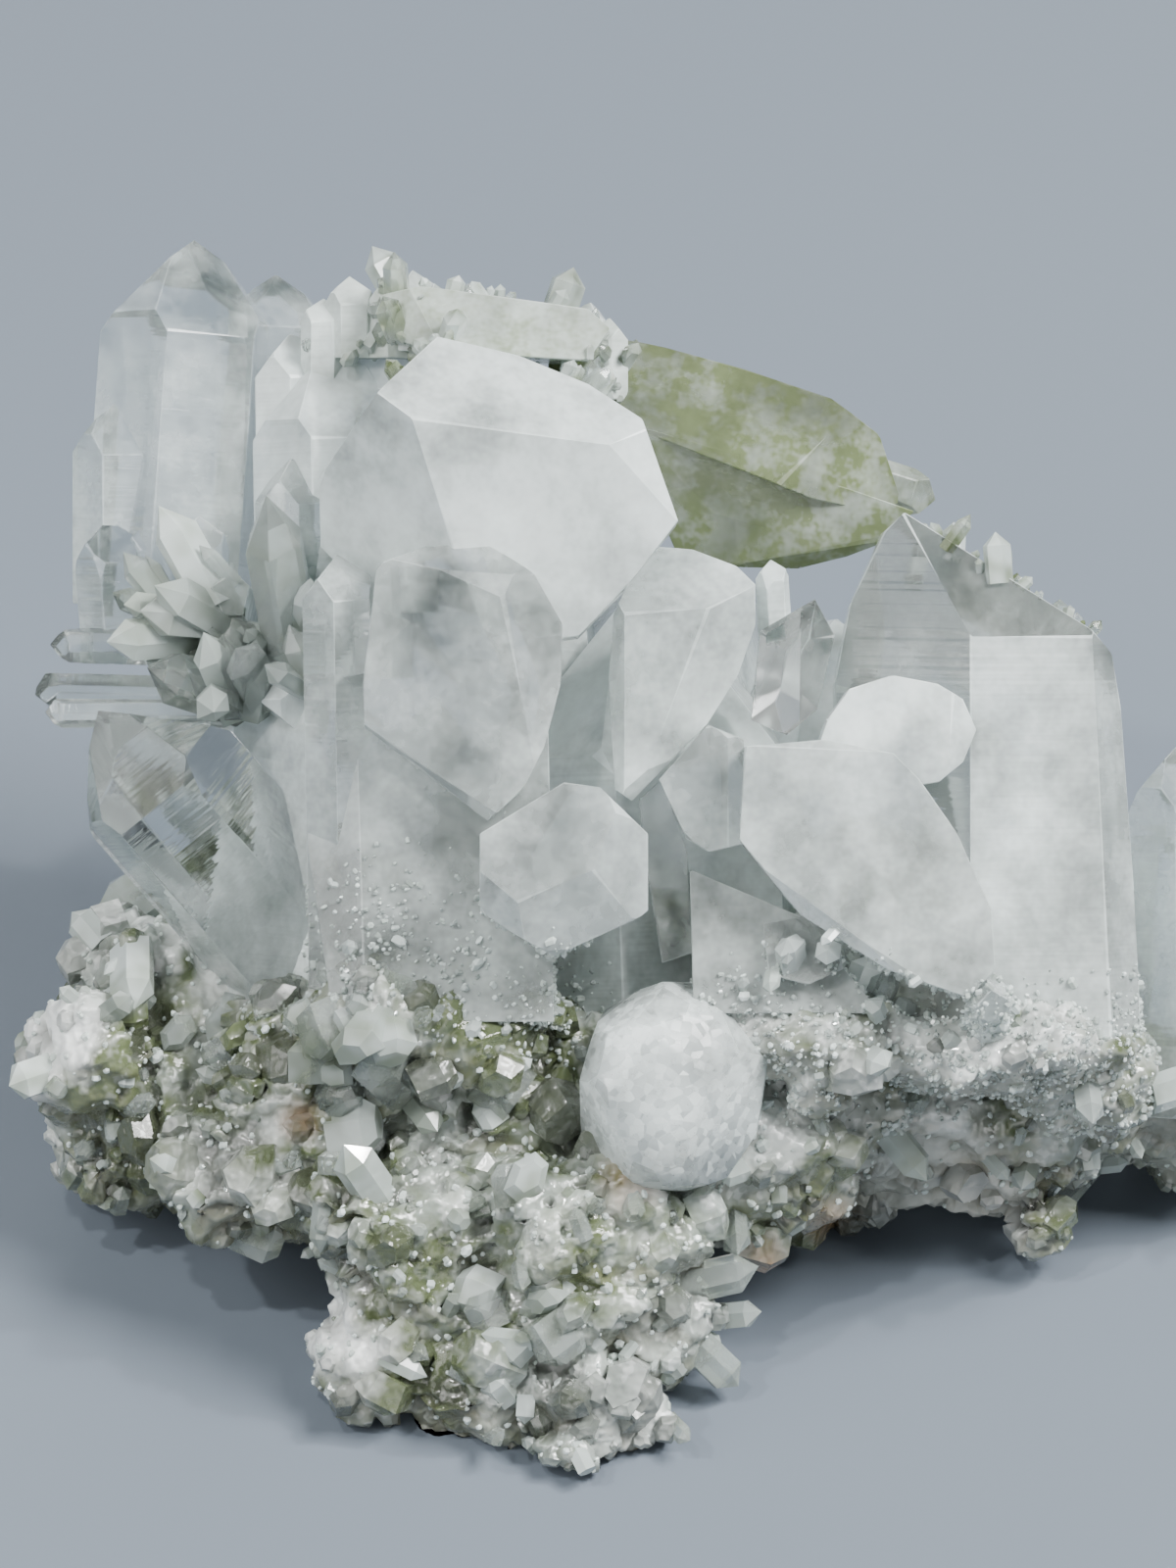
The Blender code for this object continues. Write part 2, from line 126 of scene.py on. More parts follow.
@dataclass(frozen=True)
class Faced:
    """A crystal that looks at the viewer: its outline face-on, its faces in front, its back.

    A face is a point on it and how steeply it falls away to the right and up.
    """

    outline: tuple
    faces: tuple
    back: float
    milk: float = 0.7
    tone: float = 1.0
    green: float = 0.0
    growth: tuple = (0, 0.4, 0.9)
    # Painted shade on the front faces: for each face in turn, the share of its tone that it keeps.
    painted_shades: tuple = ()

    def axis(self):
        return turned(self.growth).normalized()

    def painted_shade_faces(self):
        """Its front faces with painted shade, each a normal and the share of its tone that it keeps."""
        slopes = [slope for _, slope in self.faces]
        return [(turned((*slope, 1)).normalized(), shade)
                for slope, shade in zip(slopes, self.painted_shades)]

    def planes(self):
        """Its planes, each a normal and a distance, with its back edges taken off."""
        middle = sum((Vector(corner) for corner in self.outline), Vector((0, 0)))
        middle /= len(self.outline)
        planes = []
        for corner, after in zip(self.outline, self.outline[1:] + self.outline[:1]):
            out = (Vector(after) - Vector(corner)).orthogonal().normalized()
            if out.dot(Vector(corner) - middle) < 0:
                out.negate()
            for depth, slope in ((0, 0), (self.back + SHOULDER, -1)):
                normal = turned((out.x, out.y, slope)).normalized()
                planes.append((normal, normal.dot(placed((*corner, depth)))))
        for point, (fall_right, fall_up) in self.faces:
            normal = turned((fall_right, fall_up, 1)).normalized()
            planes.append((normal, normal.dot(placed(point))))
        rear = turned((0, 0, -1))
        planes.append((rear, rear.dot(placed((0, 0, self.back)))))
        return planes


CORE = [
    Crystal((-14, -14, -6), (-10, 16, -4), 17, 12, milk=0.9),
    Crystal((4, -16, -6), (3, 12, -6), 18, 20, milk=1.0),
    Crystal((20, -18, -7), (15, 10, -7), 15, 5, milk=0.9),
]
MIDDLE = [
    # The upright dagger left of the middle, a splinter and a bead.
    Crystal((-14.5, -12, 4), (-14.8, 13.6, 8), 4.0, 25, milk=0.5, tone=0.8),
    Crystal((11.2, 8.5, 2.5), (10.9, 13.4, 3.5), 1.8, 10, milk=0.9),
    Crystal((23.6, -14, 9), (23.5, -12.0, 14), 2.6, 10, milk=0.6),
]
FACED = [
    # The large milky crystal at the top.
    Faced(((-8.9, 26.4), (-4.1, 25.3), (0, 23.6), (3.2, 21.5), (5.3, 15.5), (2.4, 11.8),
           (-0.6, 8.7), (-5.9, 8.0), (-11.8, 10.0), (-15.9, 14.1), (-15.9, 18.2), (-12.1, 23.2)),
          (((-10.3, 21.4, 13), (0.12, -0.25)), ((-10.3, 21.4, 13), (0.26, 0.82)),
           ((-10.3, 21.4, 13), (-0.77, -0.53)), ((1.2, 19.9, 11.25), (0.55, 0.16))), -5,
          milk=0.95),
    # The rounded hexagon in the middle, and the broad clear crystal under it.
    Faced(((-12.4, 12.9), (-9.4, 14.0), (-5.9, 14.1), (-3.2, 12.4), (-1.5, 9.4), (-1.6, 5.9),
           (-2.6, 2.1), (-3.8, -0.3), (-5.9, -2.2), (-7.6, -0.9), (-13.1, 3.2), (-13.2, 5.9)),
          (((-8.5, 6, 12), (-0.08, 0.05)), ((-4.6, 9.4, 12.1), (0.35, 0.13)),
           ((-8.5, 12.5, 11.7), (0.05, 0.66)), ((-10.1, 1.4, 12.1), (-0.7, -0.9))), -2,
          milk=0.7, tone=0.65),
    Faced(((-16.6, 5.9), (-10, 8), (-2.4, 6), (-2.0, -14), (-15.0, -14), (-16.6, -4)),
          (((-12.5, 0, 8), (0.02, 0.12)), ((-13.6, 0, 8), (-0.6, 0.1))), -2,
          milk=0.8, tone=0.5),
    # The white one right of the middle, and the small hexagon below.
    Faced(((2.9, 13.2), (4.0, 14.1), (6.2, 13.9), (8.8, 12.9), (9.9, 11.8), (9.9, 9.4),
           (8.9, 6.5), (7.1, 3.6), (2.6, -1.0), (1.6, -0.3), (1.2, 5.9), (1.5, 10.0)),
          (((6, 10.3, 8.5), (0.05, -0.1)), ((6, 10.3, 8.5), (0, 0.7)),
           ((7.35, 10.6, 8.4), (0.47, -0.26)), ((2.2, 5, 8.2), (-1.2, -0.1)),
           ((5.2, 2.4, 7.8), (0.75, -0.9))), -2, milk=0.75, tone=0.85),
    Faced(((-1.4, 0.1), (0.7, -0.2), (3.5, -2.9), (3.5, -7.4), (2.6, -8.1), (0, -9.2),
           (-1.9, -10.1), (-4.7, -8.5), (-6.3, -7.4), (-6.3, -2.9)),
          (((0.3, -5, 15.5), (0, 0.08)), ((0.3, -5, 15.5), (0.21, -0.42)),
           ((0.3, -5, 15.5), (0.56, -0.14)), ((-4.2, -7, 15.5), (-0.5, -0.55))), -2,
          milk=0.7, tone=0.8),
    # Small ones between the hexagon and the shield, and a rounded one under it.
    Faced(((2.8, -1.1), (4.4, 0.3), (5.9, -4.1), (6.2, -10), (3.6, -10.9), (3.2, -3.5)),
          (((4.6, -4, 6.5), (0.1, 0.1)),), -2, milk=0.9, tone=0.3),
    Faced(((4.2, 0.3), (7.1, 3.5), (9.2, 2.6), (9.4, -3.5), (7.1, -4), (5.8, -3.2)),
          (((7, 0, 8.8), (-0.1, 0.1)), ((8.3, 0, 8.9), (0.5, 0.1))), -2, milk=0.6, tone=0.7),
    Faced(((6.0, -5.2), (8.1, -4.0), (9.9, -4.7), (12.5, -7.8), (16.5, -9.5), (17.6, -11.2),
           (17.4, -13.5), (6.2, -13.5)),
          (((9.5, -8, 9), (0.05, 0.2)), ((9.0, -5.4, 8.6), (0.1, 0.9))), -2,
          milk=0.95, tone=0.5),
    Faced(((10.3, -8.2), (12.6, -7.8), (14.7, -8.8), (15.0, -10.9), (12.9, -11.8), (10.6, -11.2)),
          (((12.6, -9.6, 10.2), (0.05, 0.25)),), 2, milk=0.85, tone=0.5),
]
RIGHT = [
    # The tall right-hand crystal, with its apex off to the left; its faces other than the main front
    # one are darkened with painted shade.
    Faced(((19.6, 16.9), (23.5, 15.0), (26.5, 12.8), (29.8, 9.1), (30.9, 8.4), (31.6, 4.7),
           (32.4, -5.9), (32.9, -15.3), (15.3, -15.3), (14.7, 5.9), (15.6, 10.6), (17.6, 15.0)),
          (((22.6, 8.7, 8.5), (0.08, -0.02)), ((22.6, 8.7, 8.5), (0.08, 0.38)),
           ((22.6, 8.7, 8.5), (-0.67, -0.02)), ((29.8, 9.0, 7.9), (1.3, 0.04))), -6,
          milk=0.8, tone=0.95, growth=(0, 1, 0.05), painted_shades=(1, 0.1, 0.05, 0.7)),
    # The oval and the milky shield.
    Faced(((14.1, 3.8), (15.4, 5.6), (17.9, 6.4), (20.6, 5.9), (22.1, 5.0), (22.9, 3.2),
           (22.1, 1.3), (20.6, 0.1), (17.6, -0.4), (13.5, 0.6), (13.5, 2.1)),
          (((18, 3, 10.2), (0.1, 0.15)), ((21.3, 3, 9.9), (0.8, 0.1))), 0, milk=0.95, tone=0.9),
    Faced(((9.2, 2.2), (13.8, 2.6), (17.9, 1.8), (19.4, 0.3), (21.6, -2.9), (23.6, -7.4),
           (23.8, -10.9), (22.2, -12.5), (17.6, -10.9), (12.5, -7.7), (8.9, -3.3)),
          (((16, -4.5, 12.5), (-0.04, 0.1)), ((13.2, -7.0, 12.7), (-0.7, -0.8)),
           ((14, 2.0, 11.8), (0, 0.9))), -1, milk=0.85, tone=0.72),
    # A small grey point.
    Faced(((13.5, 11.0), (10.2, 9.1), (9.7, 3.8), (11.8, 2.9), (13.6, 4.4), (14.7, 8.8)),
          (((13.0, 7, 5.2), (0.4, 0.1)), ((12.2, 7, 5.2), (-0.35, 0.1))), -1,
          milk=0.35, tone=0.25),
]
TOP_LEFT = [
    # The tall clear crystal at the corner, with a shorter one on each side.
    Crystal((-25.6, 10, -7), (-24.0, 33.2, -8), 9.6, 20, milk=0.3),
    Crystal((-28.2, 11, -6), (-28.2, 23.5, -5), 5.4, 10, milk=0.45),
    Crystal((-19.4, 15, -10), (-19.2, 31.3, -11), 5.6, 10, milk=0.35),
    # The milky ones between it and the large crystal.
    Crystal((-17.8, 16, -5), (-18.0, 27.4, -5), 4.4, 30, milk=0.75),
    Crystal((-15, 6, -4), (-15.3, 26.5, -4), 9.0, 15, milk=0.72),
    Crystal((-12.5, 10, -6), (-12.4, 28.3, -6), 7.0, 0, milk=0.75),
    Crystal((-17.6, 8, -1), (-17.8, 19.6, 0), 4.2, 40, milk=0.45),
    # Three small clear points in front of it.
    Crystal((-28.4, 7.5, -4), (-29.0, 16.0, -3), 3.9, 15, milk=0.2),
    Crystal((-26.2, 9, -4), (-26.7, 15.9, -3), 2.5, 15, milk=0.3),
    Crystal((-23.4, 9, -4), (-23.5, 16.2, -2.5), 3.2, 15, milk=0.4),
    # The white one that points left.
    Crystal((-14.0, 6, -1), (-21.2, 6.0, 0), 5.8, 30, milk=0.85),
]
LEFT_SPRAY = [
    # Short crystals full of chlorite.
    Crystal((-22, 9, -5), (-25.8, 10.8, 1.5), 3.4, 10, milk=0.35, green=0.5),
    Crystal((-21, 10, -4), (-22.5, 11.8, 2.0), 3.2, 40, milk=0.4, green=0.4),
    Crystal((-20, 8, -4), (-20.4, 8.4, 1.6), 3.0, 0, milk=0.4, green=0.6),
    Crystal((-22, 7, -4), (-23.6, 6.2, 1.6), 3.4, 20, milk=0.35, green=0.8),
    Crystal((-20, 6, -4), (-21.3, 5.3, 1.0), 2.8, 0, milk=0.4, green=0.6),
    # Clear rods that point left.
    Crystal((-20, 8.0, -2), (-32.4, 8.4, -1.5), 1.9, 10, milk=0.15, green=0.1),
    Crystal((-20, 5.2, -2), (-33.4, 5.5, -0.5), 2.4, 30, milk=0.12, green=0.15),
    Crystal((-22, 4.4, -1), (-32.6, 4.3, 0.3), 1.7, 0, milk=0.15, green=0.1),
]
BACK = [
    # Crystals behind, which point up and away.
    Crystal((-8, 4, -8), (-20, 15, -20), 8.5, 10, milk=0.6),
    Crystal((-4, 4, -8), (-6, 21, -18), 9.5, 25, milk=0.7),
    Crystal((4, 2, -8), (7, 12, -22), 10.5, 0, milk=0.65),
    Crystal((12, 0, -8), (17, 9, -20), 8.0, 15, milk=0.6, green=0.2),
    Crystal((18, -6, -8), (29, 0, -17), 7.5, 30, milk=0.55),
    Crystal((-12, -2, -8), (-27, 3, -15), 7.5, 5, milk=0.6),
]
LOWER_LEFT = [
    Crystal((-14, -13.5, -3), (-29.3, 4.4, 2), 9.4, -13, milk=-0.1),
]
EDGE = [
    Crystal((36.5, -20, -5), (36.2, 2.9, -4), 6.6, 15, milk=0.4, green=0.15),
    Crystal((38.5, -20, -8), (39.0, -2.0, -9), 5.0, 5, milk=0.4, green=0.2),
]
PLATES = [
    # The small green point at the end of the plates.
    Crystal((14, 19.5, -7), (21.2, 17.3, -8), 2.6, 0, milk=0.4, green=1.0),
]
GREEN_FACED = [
    # The two long green plates behind the top, and the crust along the top edge.
    Faced(((-2.4, 27.6), (2.9, 26.9), (9.4, 25.1), (14.7, 23.3), (17.8, 21.0), (19.9, 17.3),
           (19.1, 16.1), (13.5, 17.2), (3.4, 21.2), (-2.4, 23.5)),
          (((8, 22, -2.6), (0.05, 0.35)), ((13, 19.6, -2.0), (0.45, -0.05))), -9,
          milk=0.45, green=1.3, tone=0.55),
    Faced(((2.9, 21.6), (5.9, 20.8), (13.5, 18.6), (19.7, 16.5), (18.1, 14.6), (15.9, 13.1),
           (12.6, 12.1), (8.5, 13.0), (5.3, 14.1), (3.8, 17.6)),
          (((10, 16, -3.4), (0.02, -0.25)), ((12, 14.2, -3.6), (0.15, -1.0))), -9,
          milk=0.45, green=1.25, tone=0.6),
    Faced(((-12.5, 29.3), (-10.0, 29.8), (-4.7, 29.1), (0, 28.4), (1.3, 27.2), (0, 25.2),
           (-8.9, 25.8), (-11.8, 26.6)),
          (((-6, 28, 2.5), (0, 0.6)), ((-10, 27.6, 2.5), (-0.6, 0.3))), -8,
          milk=0.75, green=0.8),
]

# The small green points along the top edge: across, height, width.
FRINGE = [(-16.0, 29.4, 2.4), (-14.4, 30.7, 2.8), (-12.0, 30.7, 2.8), (-10.6, 31.1, 3.0),
          (-9.3, 30.3, 2.4), (-6.9, 29.9, 2.8), (0.1, 29.2, 1.8), (1.3, 28.2, 2.2)]
FRINGE_LENGTH = 5.0
FRINGE_DEPTH = -3.5

# The rounded crystal in front: centre, half widths, faces.
NODULE = ((4.9, -18.0, 7.5), (5.9, 6.2, 6.0), 34)
NODULE_ROUGH = 0.04

# The lumps of the rock: centre, then half widths.
LUMPS = [
    # The body, the lobe at the left with its plates and its white knob.
    ((-2, -19, -8), (27, 9, 13)),
    ((-24, -18, -8), (9.5, 8.5, 9)),
    ((-27, -11, -5), (4.5, 2.8, 5)),
    ((-30.3, -17.3, -2), (3.8, 3.3, 3.8)),
    # The mounds in front, down to the tip that comes towards the viewer.
    ((-14, -17, 1), (9, 5.5, 6)),
    ((-5, -19.5, 2), (7, 4, 5)),
    ((-18, -23, 0), (8, 5, 6)),
    ((-10, -26, 3), (7, 5, 6)),
    ((0, -26, 4), (8, 5.5, 6)),
    ((-2, -31.5, 3.5), (10, 5.5, 5.5)),
    ((-12.5, -33.8, 3), (4, 4, 4)),
    ((-5.5, -35.5, 4), (5.5, 3.6, 4.5)),
    ((-0.5, -36.8, 5), (4.6, 4.0, 4)),
    # The lobe at the right with its round knob, and the rubble at the feet of the crystals.
    ((8, -22, 0), (8, 6, 7)),
    ((19, -19, -8), (10, 6.5, 10)),
    ((26, -20, -6), (6, 6, 7)),
    ((27.2, -26.8, -4), (1.8, 1.8, 1.8)),
    ((31, -18, -6), (4.5, 4.5, 6)),
    ((24, -15.8, 5.5), (9, 3, 3.8)),
    ((13.5, -14.8, 6.5), (6, 3, 4)),
    ((29.5, -17.0, 1), (5, 3.2, 5)),
    ((37, -19.5, -9), (5, 4.5, 6)),
    # The back.
    ((0, -14, -19), (24, 8, 9)),
    ((-20, -10, -14), (9, 8, 8)),
    ((20, -12, -15), (11, 8, 9)),
    # What hides the foot of the broad clear crystal.
    ((-9.5, -14.4, 6), (8.5, 3, 3.6)),
]
LUMP_FACES = 26
LUMP_ROUGH = 0.14
PLAIN_LUMPS = (0, 2, 16)
LEDGES_EACH = 5
LEDGE_SEED = 5
LEDGE_FACES = 12
LEDGE_ROUGH = 0.25
LEDGE_DEPTH = 0.72
LEDGE_SIZES = (1.1, 2.9)

# The rock's grain: size of a cell, how far a cell stands out, how steeply it leans.
GRAINS = [(5.5, 0.5, 0.2), (2.4, 0.28, 0.32), (1.1, 0.1, 0.35)]

# Patches on the rock: across, height, radius, then how white, how green and how rusty it is.
PATCHES = [
    (-12.9, -33.5, 3.4, 1.2, 0.0, 0.0),
    (-31.0, -17.2, 3.6, 1.2, 0.0, 0.0),
    (-21.5, -10.8, 3.6, 0.9, 0.0, 0.0),
    (-17.0, -14.8, 4.0, 0.6, 0.1, 0.0),
    (-2.5, -16.6, 2.6, 0.8, 0.1, 0.0),
    (24.5, -24.5, 3.2, 0.7, 0.0, 0.1),
    (12.0, -16.5, 6.0, 0.3, 0.0, 0.0),
    (22.0, -17.0, 7.0, 0.25, 0.0, 0.0),
    (31.0, -16.0, 5.0, 0.4, 0.0, 0.0),
    (-18.0, -23.0, 4.0, 0.5, 0.1, 0.0),
    (-26.3, -14.8, 2.6, 0.0, 1.0, 0.0),
    (-8.0, -11.6, 4.4, 0.0, 0.9, 0.0),
    (-3.5, -12.6, 3.2, 0.0, 1.2, 0.0),
    (-14.0, -18.5, 4.0, 0.1, 0.6, 0.0),
    (-27.5, -22.0, 4.5, 0.0, 0.6, 0.0),
    (-19.0, -25.0, 4.5, 0.0, 0.4, 0.0),
    (34.5, -14.0, 3.0, 0.0, 0.9, 0.0),
    (-9.0, -36.0, 3.0, 0.3, 0.7, 0.0),
    (-17.2, -20.0, 1.1, 0.0, 0.0, 0.6),
    (10.5, -29.2, 1.6, 0.2, 0.0, 0.6),
    (14.5, -26.2, 1.5, 0.2, 0.0, 0.6),
    (2.5, -23.5, 1.8, 0.4, 0.0, 0.3),
    (1.0, -28.0, 5.0, 0.0, 0.6, 0.0),
    (-8.0, -27.0, 4.0, 0.0, 0.4, 0.0),
    (20.0, -21.5, 6.0, 0.5, 0.0, 0.0),
]
PATCH_DEPTH = 12.0

# Where the rock is a smooth milky mass: across, height, radius, then how smooth.
SMOOTH = [(-31.0, -17.2, 3.6, 0.5), (-21.5, -11.0, 4.5, 0.6), (12.0, -16.0, 6.0, 0.6),
          (21.0, -17.0, 7.0, 0.6), (30.0, -16.5, 6.0, 0.6), (-12.9, -33.5, 3.6, 0.5)]

# Where small grains cover the crystals: across, height, radius, then how thickly.
SUGAR = [(-11.5, -9.0, 4.5, 0.8), (-8.5, -11.0, 3.5, 1.0), (-2.0, -12.5, 3.0, 0.8),
         (10.0, -13.5, 3.5, 0.8), (16.0, -13.8, 3.4, 1.0),
         (22.0, -15.5, 3.6, 1.2), (28.0, -16.0, 3.8, 1.4), (32.0, -14.6, 3.0, 1.0),
         (13.0, -17.0, 4.0, 0.7), (21.0, -18.5, 4.5, 0.9), (30.0, -18.0, 4.5, 0.9),
         (-20.0, -12.0, 4.0, 0.5)]

# Where small crystals stand between the large ones: across, height, radius, then how thickly.
FEET = [(12.5, -11.0, 3.0, 1.0), (16.5, -12.5, 2.0, 0.8), (-12.0, -12.0, 2.5, 0.6)]

# Where large glassy fragments lie in the rock: across, height, radius, then how thickly.
SHARDS = [(-22.5, -12.5, 3.0, 1.0), (-17.5, -13.5, 3.5, 1.0), (-12.0, -14.5, 3.5, 1.0),
          (-21.0, -18.0, 3.0, 0.6), (-9.0, -19.0, 3.5, 0.7), (-15.0, -22.0, 3.0, 0.6),
          (-2.0, -24.0, 3.5, 0.6), (-4.0, -31.0, 3.5, 0.6)]

# Where green-white crust covers the top edges: across, height, radius, then how thickly.
CRUST = [(-11.5, 29.0, 2.6, 0.8), (-7.0, 29.0, 3.0, 0.7), (-2.0, 28.2, 3.0, 0.6),
         (1.5, 27.6, 2.0, 0.6), (-15.5, 27.0, 2.4, 0.6), (-12.5, 25.4, 2.2, 1.4),
         (-8.8, 25.4, 2.0, 1.4), (1.0, 25.2, 2.2, 1.2), (22.5, 14.6, 2.0, 0.9),
         (25.5, 12.8, 2.0, 0.8), (28.5, 10.0, 1.6, 0.6)]

# Where small clear crystals crowd the left side: across, height, radius, then how thickly.
THICKET = [(-24.0, 9.5, 3.0, 1.0), (-21.0, 6.5, 3.2, 1.0), (-27.5, 7.0, 2.5, 0.7),
           (-17.5, 8.5, 2.5, 0.5)]


# Crystals and lumps as solids cut by planes

def lump_planes(centre, radii, faces, dice, rough):
    """Planes of a broken lump of rock that about fills an ellipsoid."""
    middle = placed(centre)
    axes = [turned(a) for a in ((1, 0, 0), (0, 1, 0), (0, 0, 1))]
    planes = []
    for k in range(faces):
        height = 1 - (2 * k + 1) / faces
        angle = k * GOLDEN_TURN + dice.uniform(-0.3, 0.3)
        ring = math.sqrt(1 - height * height)
        spot = (ring * math.cos(angle), ring * math.sin(angle), height)
        normal = sum((axes[i] * (spot[i] / radii[i]) for i in range(3)), Vector()).normalized()
        span = math.sqrt(sum((normal.dot(axes[i]) * radii[i]) ** 2 for i in range(3)))
        planes.append((normal, normal.dot(middle) + span * (1 - dice.uniform(0, rough))))
    return planes


def rock_planes():
    """The large lumps, and small ledges seated on them."""
    dice = random.Random(SEED)
    lumps = [lump_planes(centre, radii, LUMP_FACES, dice, LUMP_ROUGH) for centre, radii in LUMPS]
    dice = random.Random(LEDGE_SEED)
    hosts = [host for i, host in enumerate(LUMPS) if i not in PLAIN_LUMPS]
    for centre, radii in hosts:
        for _ in range(LEDGES_EACH):
            turn = dice.uniform(0, 2 * math.pi)
            height = dice.uniform(-0.6, 0.9)
            ring = math.sqrt(1 - height * height)
            spot = (ring * math.cos(turn), ring * math.sin(turn), height)
            seat = [centre[i] + LEDGE_DEPTH * radii[i] * spot[i] for i in range(3)]
            size = dice.uniform(*LEDGE_SIZES)
            spread = [size * dice.uniform(0.8, 1.3) for _ in range(3)]
            lumps.append(lump_planes(seat, spread, LEDGE_FACES, dice, LEDGE_ROUGH))
    return lumps


def cut_blank(planes):
    """A block cut down to the space inside all the planes."""
    bm = bmesh.new()
    bmesh.ops.create_cube(bm, size=BLANK_SIZE)
    for normal, distance in planes:
        cut = bmesh.ops.bisect_plane(bm, geom=bm.verts[:] + bm.edges[:] + bm.faces[:], dist=1e-5,
                                     plane_co=normal * distance, plane_no=normal,
                                     clear_outer=True)
        rim = [item for item in cut["geom_cut"] if isinstance(item, bmesh.types.BMEdge)]
        if rim:
            bmesh.ops.contextual_create(bm, geom=rim)
    bmesh.ops.remove_doubles(bm, verts=bm.verts[:], dist=WELD)
    bmesh.ops.delete(bm, geom=bm.edges[:], context="EDGES_FACES")
    bmesh.ops.convex_hull(bm, input=bm.verts[:])
    bmesh.ops.dissolve_limit(bm, angle_limit=FLAT, verts=bm.verts[:], edges=bm.edges[:])
    bmesh.ops.recalc_face_normals(bm, faces=bm.faces[:])
    return bm


def worn_edges(planes, width, chip, dice):
    """Planes that flatten every edge of the solid unevenly, and chip some of its corners."""
    bm = cut_blank(planes)
    cuts = []
    for edge in bm.edges:
        if len(edge.link_faces) != 2:
            continue
        first, second = (face.normal for face in edge.link_faces)
        span = edge.verts[1].co - edge.verts[0].co
        middle = edge.verts[0].co + span * dice.uniform(0.3, 0.7)
        skew = span.normalized() * dice.uniform(-1, 1) * width / max(span.length, 1)
        normal = ((first + second).normalized() + skew).normalized()
        depth = width / 2 * math.tan(first.angle(second) / 2)
        cuts.append((normal, normal.dot(middle) - depth))
    for vert in bm.verts:
        if dice.random() < CHIP_SHARE:
            lean = Vector([dice.uniform(-0.3, 0.3) for _ in range(3)])
            normal = (sum((face.normal for face in vert.link_faces), Vector()).normalized()
                      + lean).normalized()
            reach = normal.dot(vert.co) - chip * dice.uniform(0.2, 1)
            if all(normal.dot(other.co) < reach for other in bm.verts if other is not vert):
                cuts.append((normal, reach))
    bm.free()
    return cuts


CHIP_SHARE = 0.5
CHIP = 0.25


def new_object(name, mesh):
    """An object that shows the mesh."""
    obj = bpy.data.objects.new(name, mesh)
    bpy.context.scene.collection.objects.link(obj)
    return obj


def object_from(name, bm):
    """The bmesh as an object in metres."""
    bm.transform(Matrix.Scale(MM, 4))
    mesh = bpy.data.meshes.new(name)
    bm.to_mesh(mesh)
    bm.free()
    return new_object(name, mesh)


def grown_crystal(name, planes, axis, looks, wear, painted_shades=()):
    """A crystal with worn edges whose faces carry its growth axis, its span and its looks, with painted
    shade on some faces.
    """
    cuts = worn_edges(planes, wear, CHIP, random.Random(name))
    bm = cut_blank(planes + cuts)
    heights = [axis.dot(vert.co) * MM for vert in bm.verts]
    growth_axis = bm.faces.layers.float_vector.new("growth_axis")
    growth_span = bm.faces.layers.float_vector.new("growth_span")
    growth_traits = bm.faces.layers.float_vector.new("growth_traits")
    milk, tone, green = looks
    for face in bm.faces:
        distance = face.normal.dot(face.calc_center_median())
        worn_and_rim_highlight = any(normal.dot(face.normal) > 0.9999 and abs(reach - distance) < 0.02
                   for normal, reach in cuts)
        face[growth_axis] = axis
        face[growth_span] = (min(heights), max(heights) - min(heights), milk)
        # Painted shade: a listed face keeps only that share of its tone.
        shade = min([1.0] + [value for facing, value in painted_shades if facing.dot(face.normal) > 0.999])
        face[growth_traits] = (green, tone * shade, 1.0 if worn_and_rim_highlight else 0.0)
    return object_from(name, bm)


def grow(name, crystals, wear):
    """One closed mesh of crystals that grow through each other."""
    bodies = [grown_crystal(f"{name}_{i}", crystal.planes(), crystal.axis(),
                            (crystal.milk, crystal.tone, crystal.green), wear,
                            crystal.painted_shade_faces())
              for i, crystal in enumerate(crystals)]
    whole, others = bodies[0], bodies[1:]
    if others:
        group = bpy.data.collections.new("operands")
        bpy.context.scene.collection.children.link(group)
        for other in others:
            group.objects.link(other)
        boolean = whole.modifiers.new("boolean", "BOOLEAN")
        boolean.operation = "UNION"
        boolean.operand_type = "COLLECTION"
        boolean.collection = group
        boolean.solver = "EXACT"
        depsgraph = bpy.context.evaluated_depsgraph_get()
        mesh = bpy.data.meshes.new_from_object(whole.evaluated_get(depsgraph))
        whole.modifiers.clear()
        whole.data = mesh
        for other in others:
            bpy.data.objects.remove(other)
        bpy.data.collections.remove(group)
    whole.name = name
    return whole


def fringe_crystals():
    """The small green points in their row."""
    return [Crystal((u, top - FRINGE_LENGTH, FRINGE_DEPTH), (u, top, FRINGE_DEPTH), width, 13 * i,
                    milk=0.8, green=0.15 + 0.4 * (i % 3) / 2)
            for i, (u, top, width) in enumerate(FRINGE)]


def all_crystals():
    """Every crystal that the rock carries."""
    return (CORE + MIDDLE + FACED + RIGHT + TOP_LEFT + LEFT_SPRAY + BACK + LOWER_LEFT + EDGE
            + PLATES + GREEN_FACED)


# The rock and what is scattered over it

def joined_lumps():
    """All the rock's lumps in one object, still overlapping."""
    whole = bmesh.new()
    for planes in rock_planes():
        bm = cut_blank(planes)
        piece = bpy.data.meshes.new("lump")
        bm.to_mesh(piece)
        bm.free()
        whole.from_mesh(piece)
        bpy.data.meshes.remove(piece)
    bmesh.ops.triangulate(whole, faces=whole.faces[:])
    return object_from("rock", whole)


def remesh(obj, cell):
    """Give the object an even skin of small faces."""
    modifier = obj.modifiers.new("remesh", "REMESH")
    modifier.mode = "VOXEL"
    modifier.voxel_size = cell
    depsgraph = bpy.context.evaluated_depsgraph_get()
    mesh = bpy.data.meshes.new_from_object(obj.evaluated_get(depsgraph))
    obj.modifiers.clear()
    obj.data = mesh


def read_vectors(items, field):
    """A vector property of every item, as rows of an array."""
    values = np.empty(len(items) * 3)
    items.foreach_get(field, values)
    return values.reshape(-1, 3)


def face_on_directions(vectors):
    """Directions at rest, as rows of (u, v, w)."""
    return vectors @ np.array([turned(axis) for axis in ((1, 0, 0), (0, 1, 0), (0, 0, 1))]).T


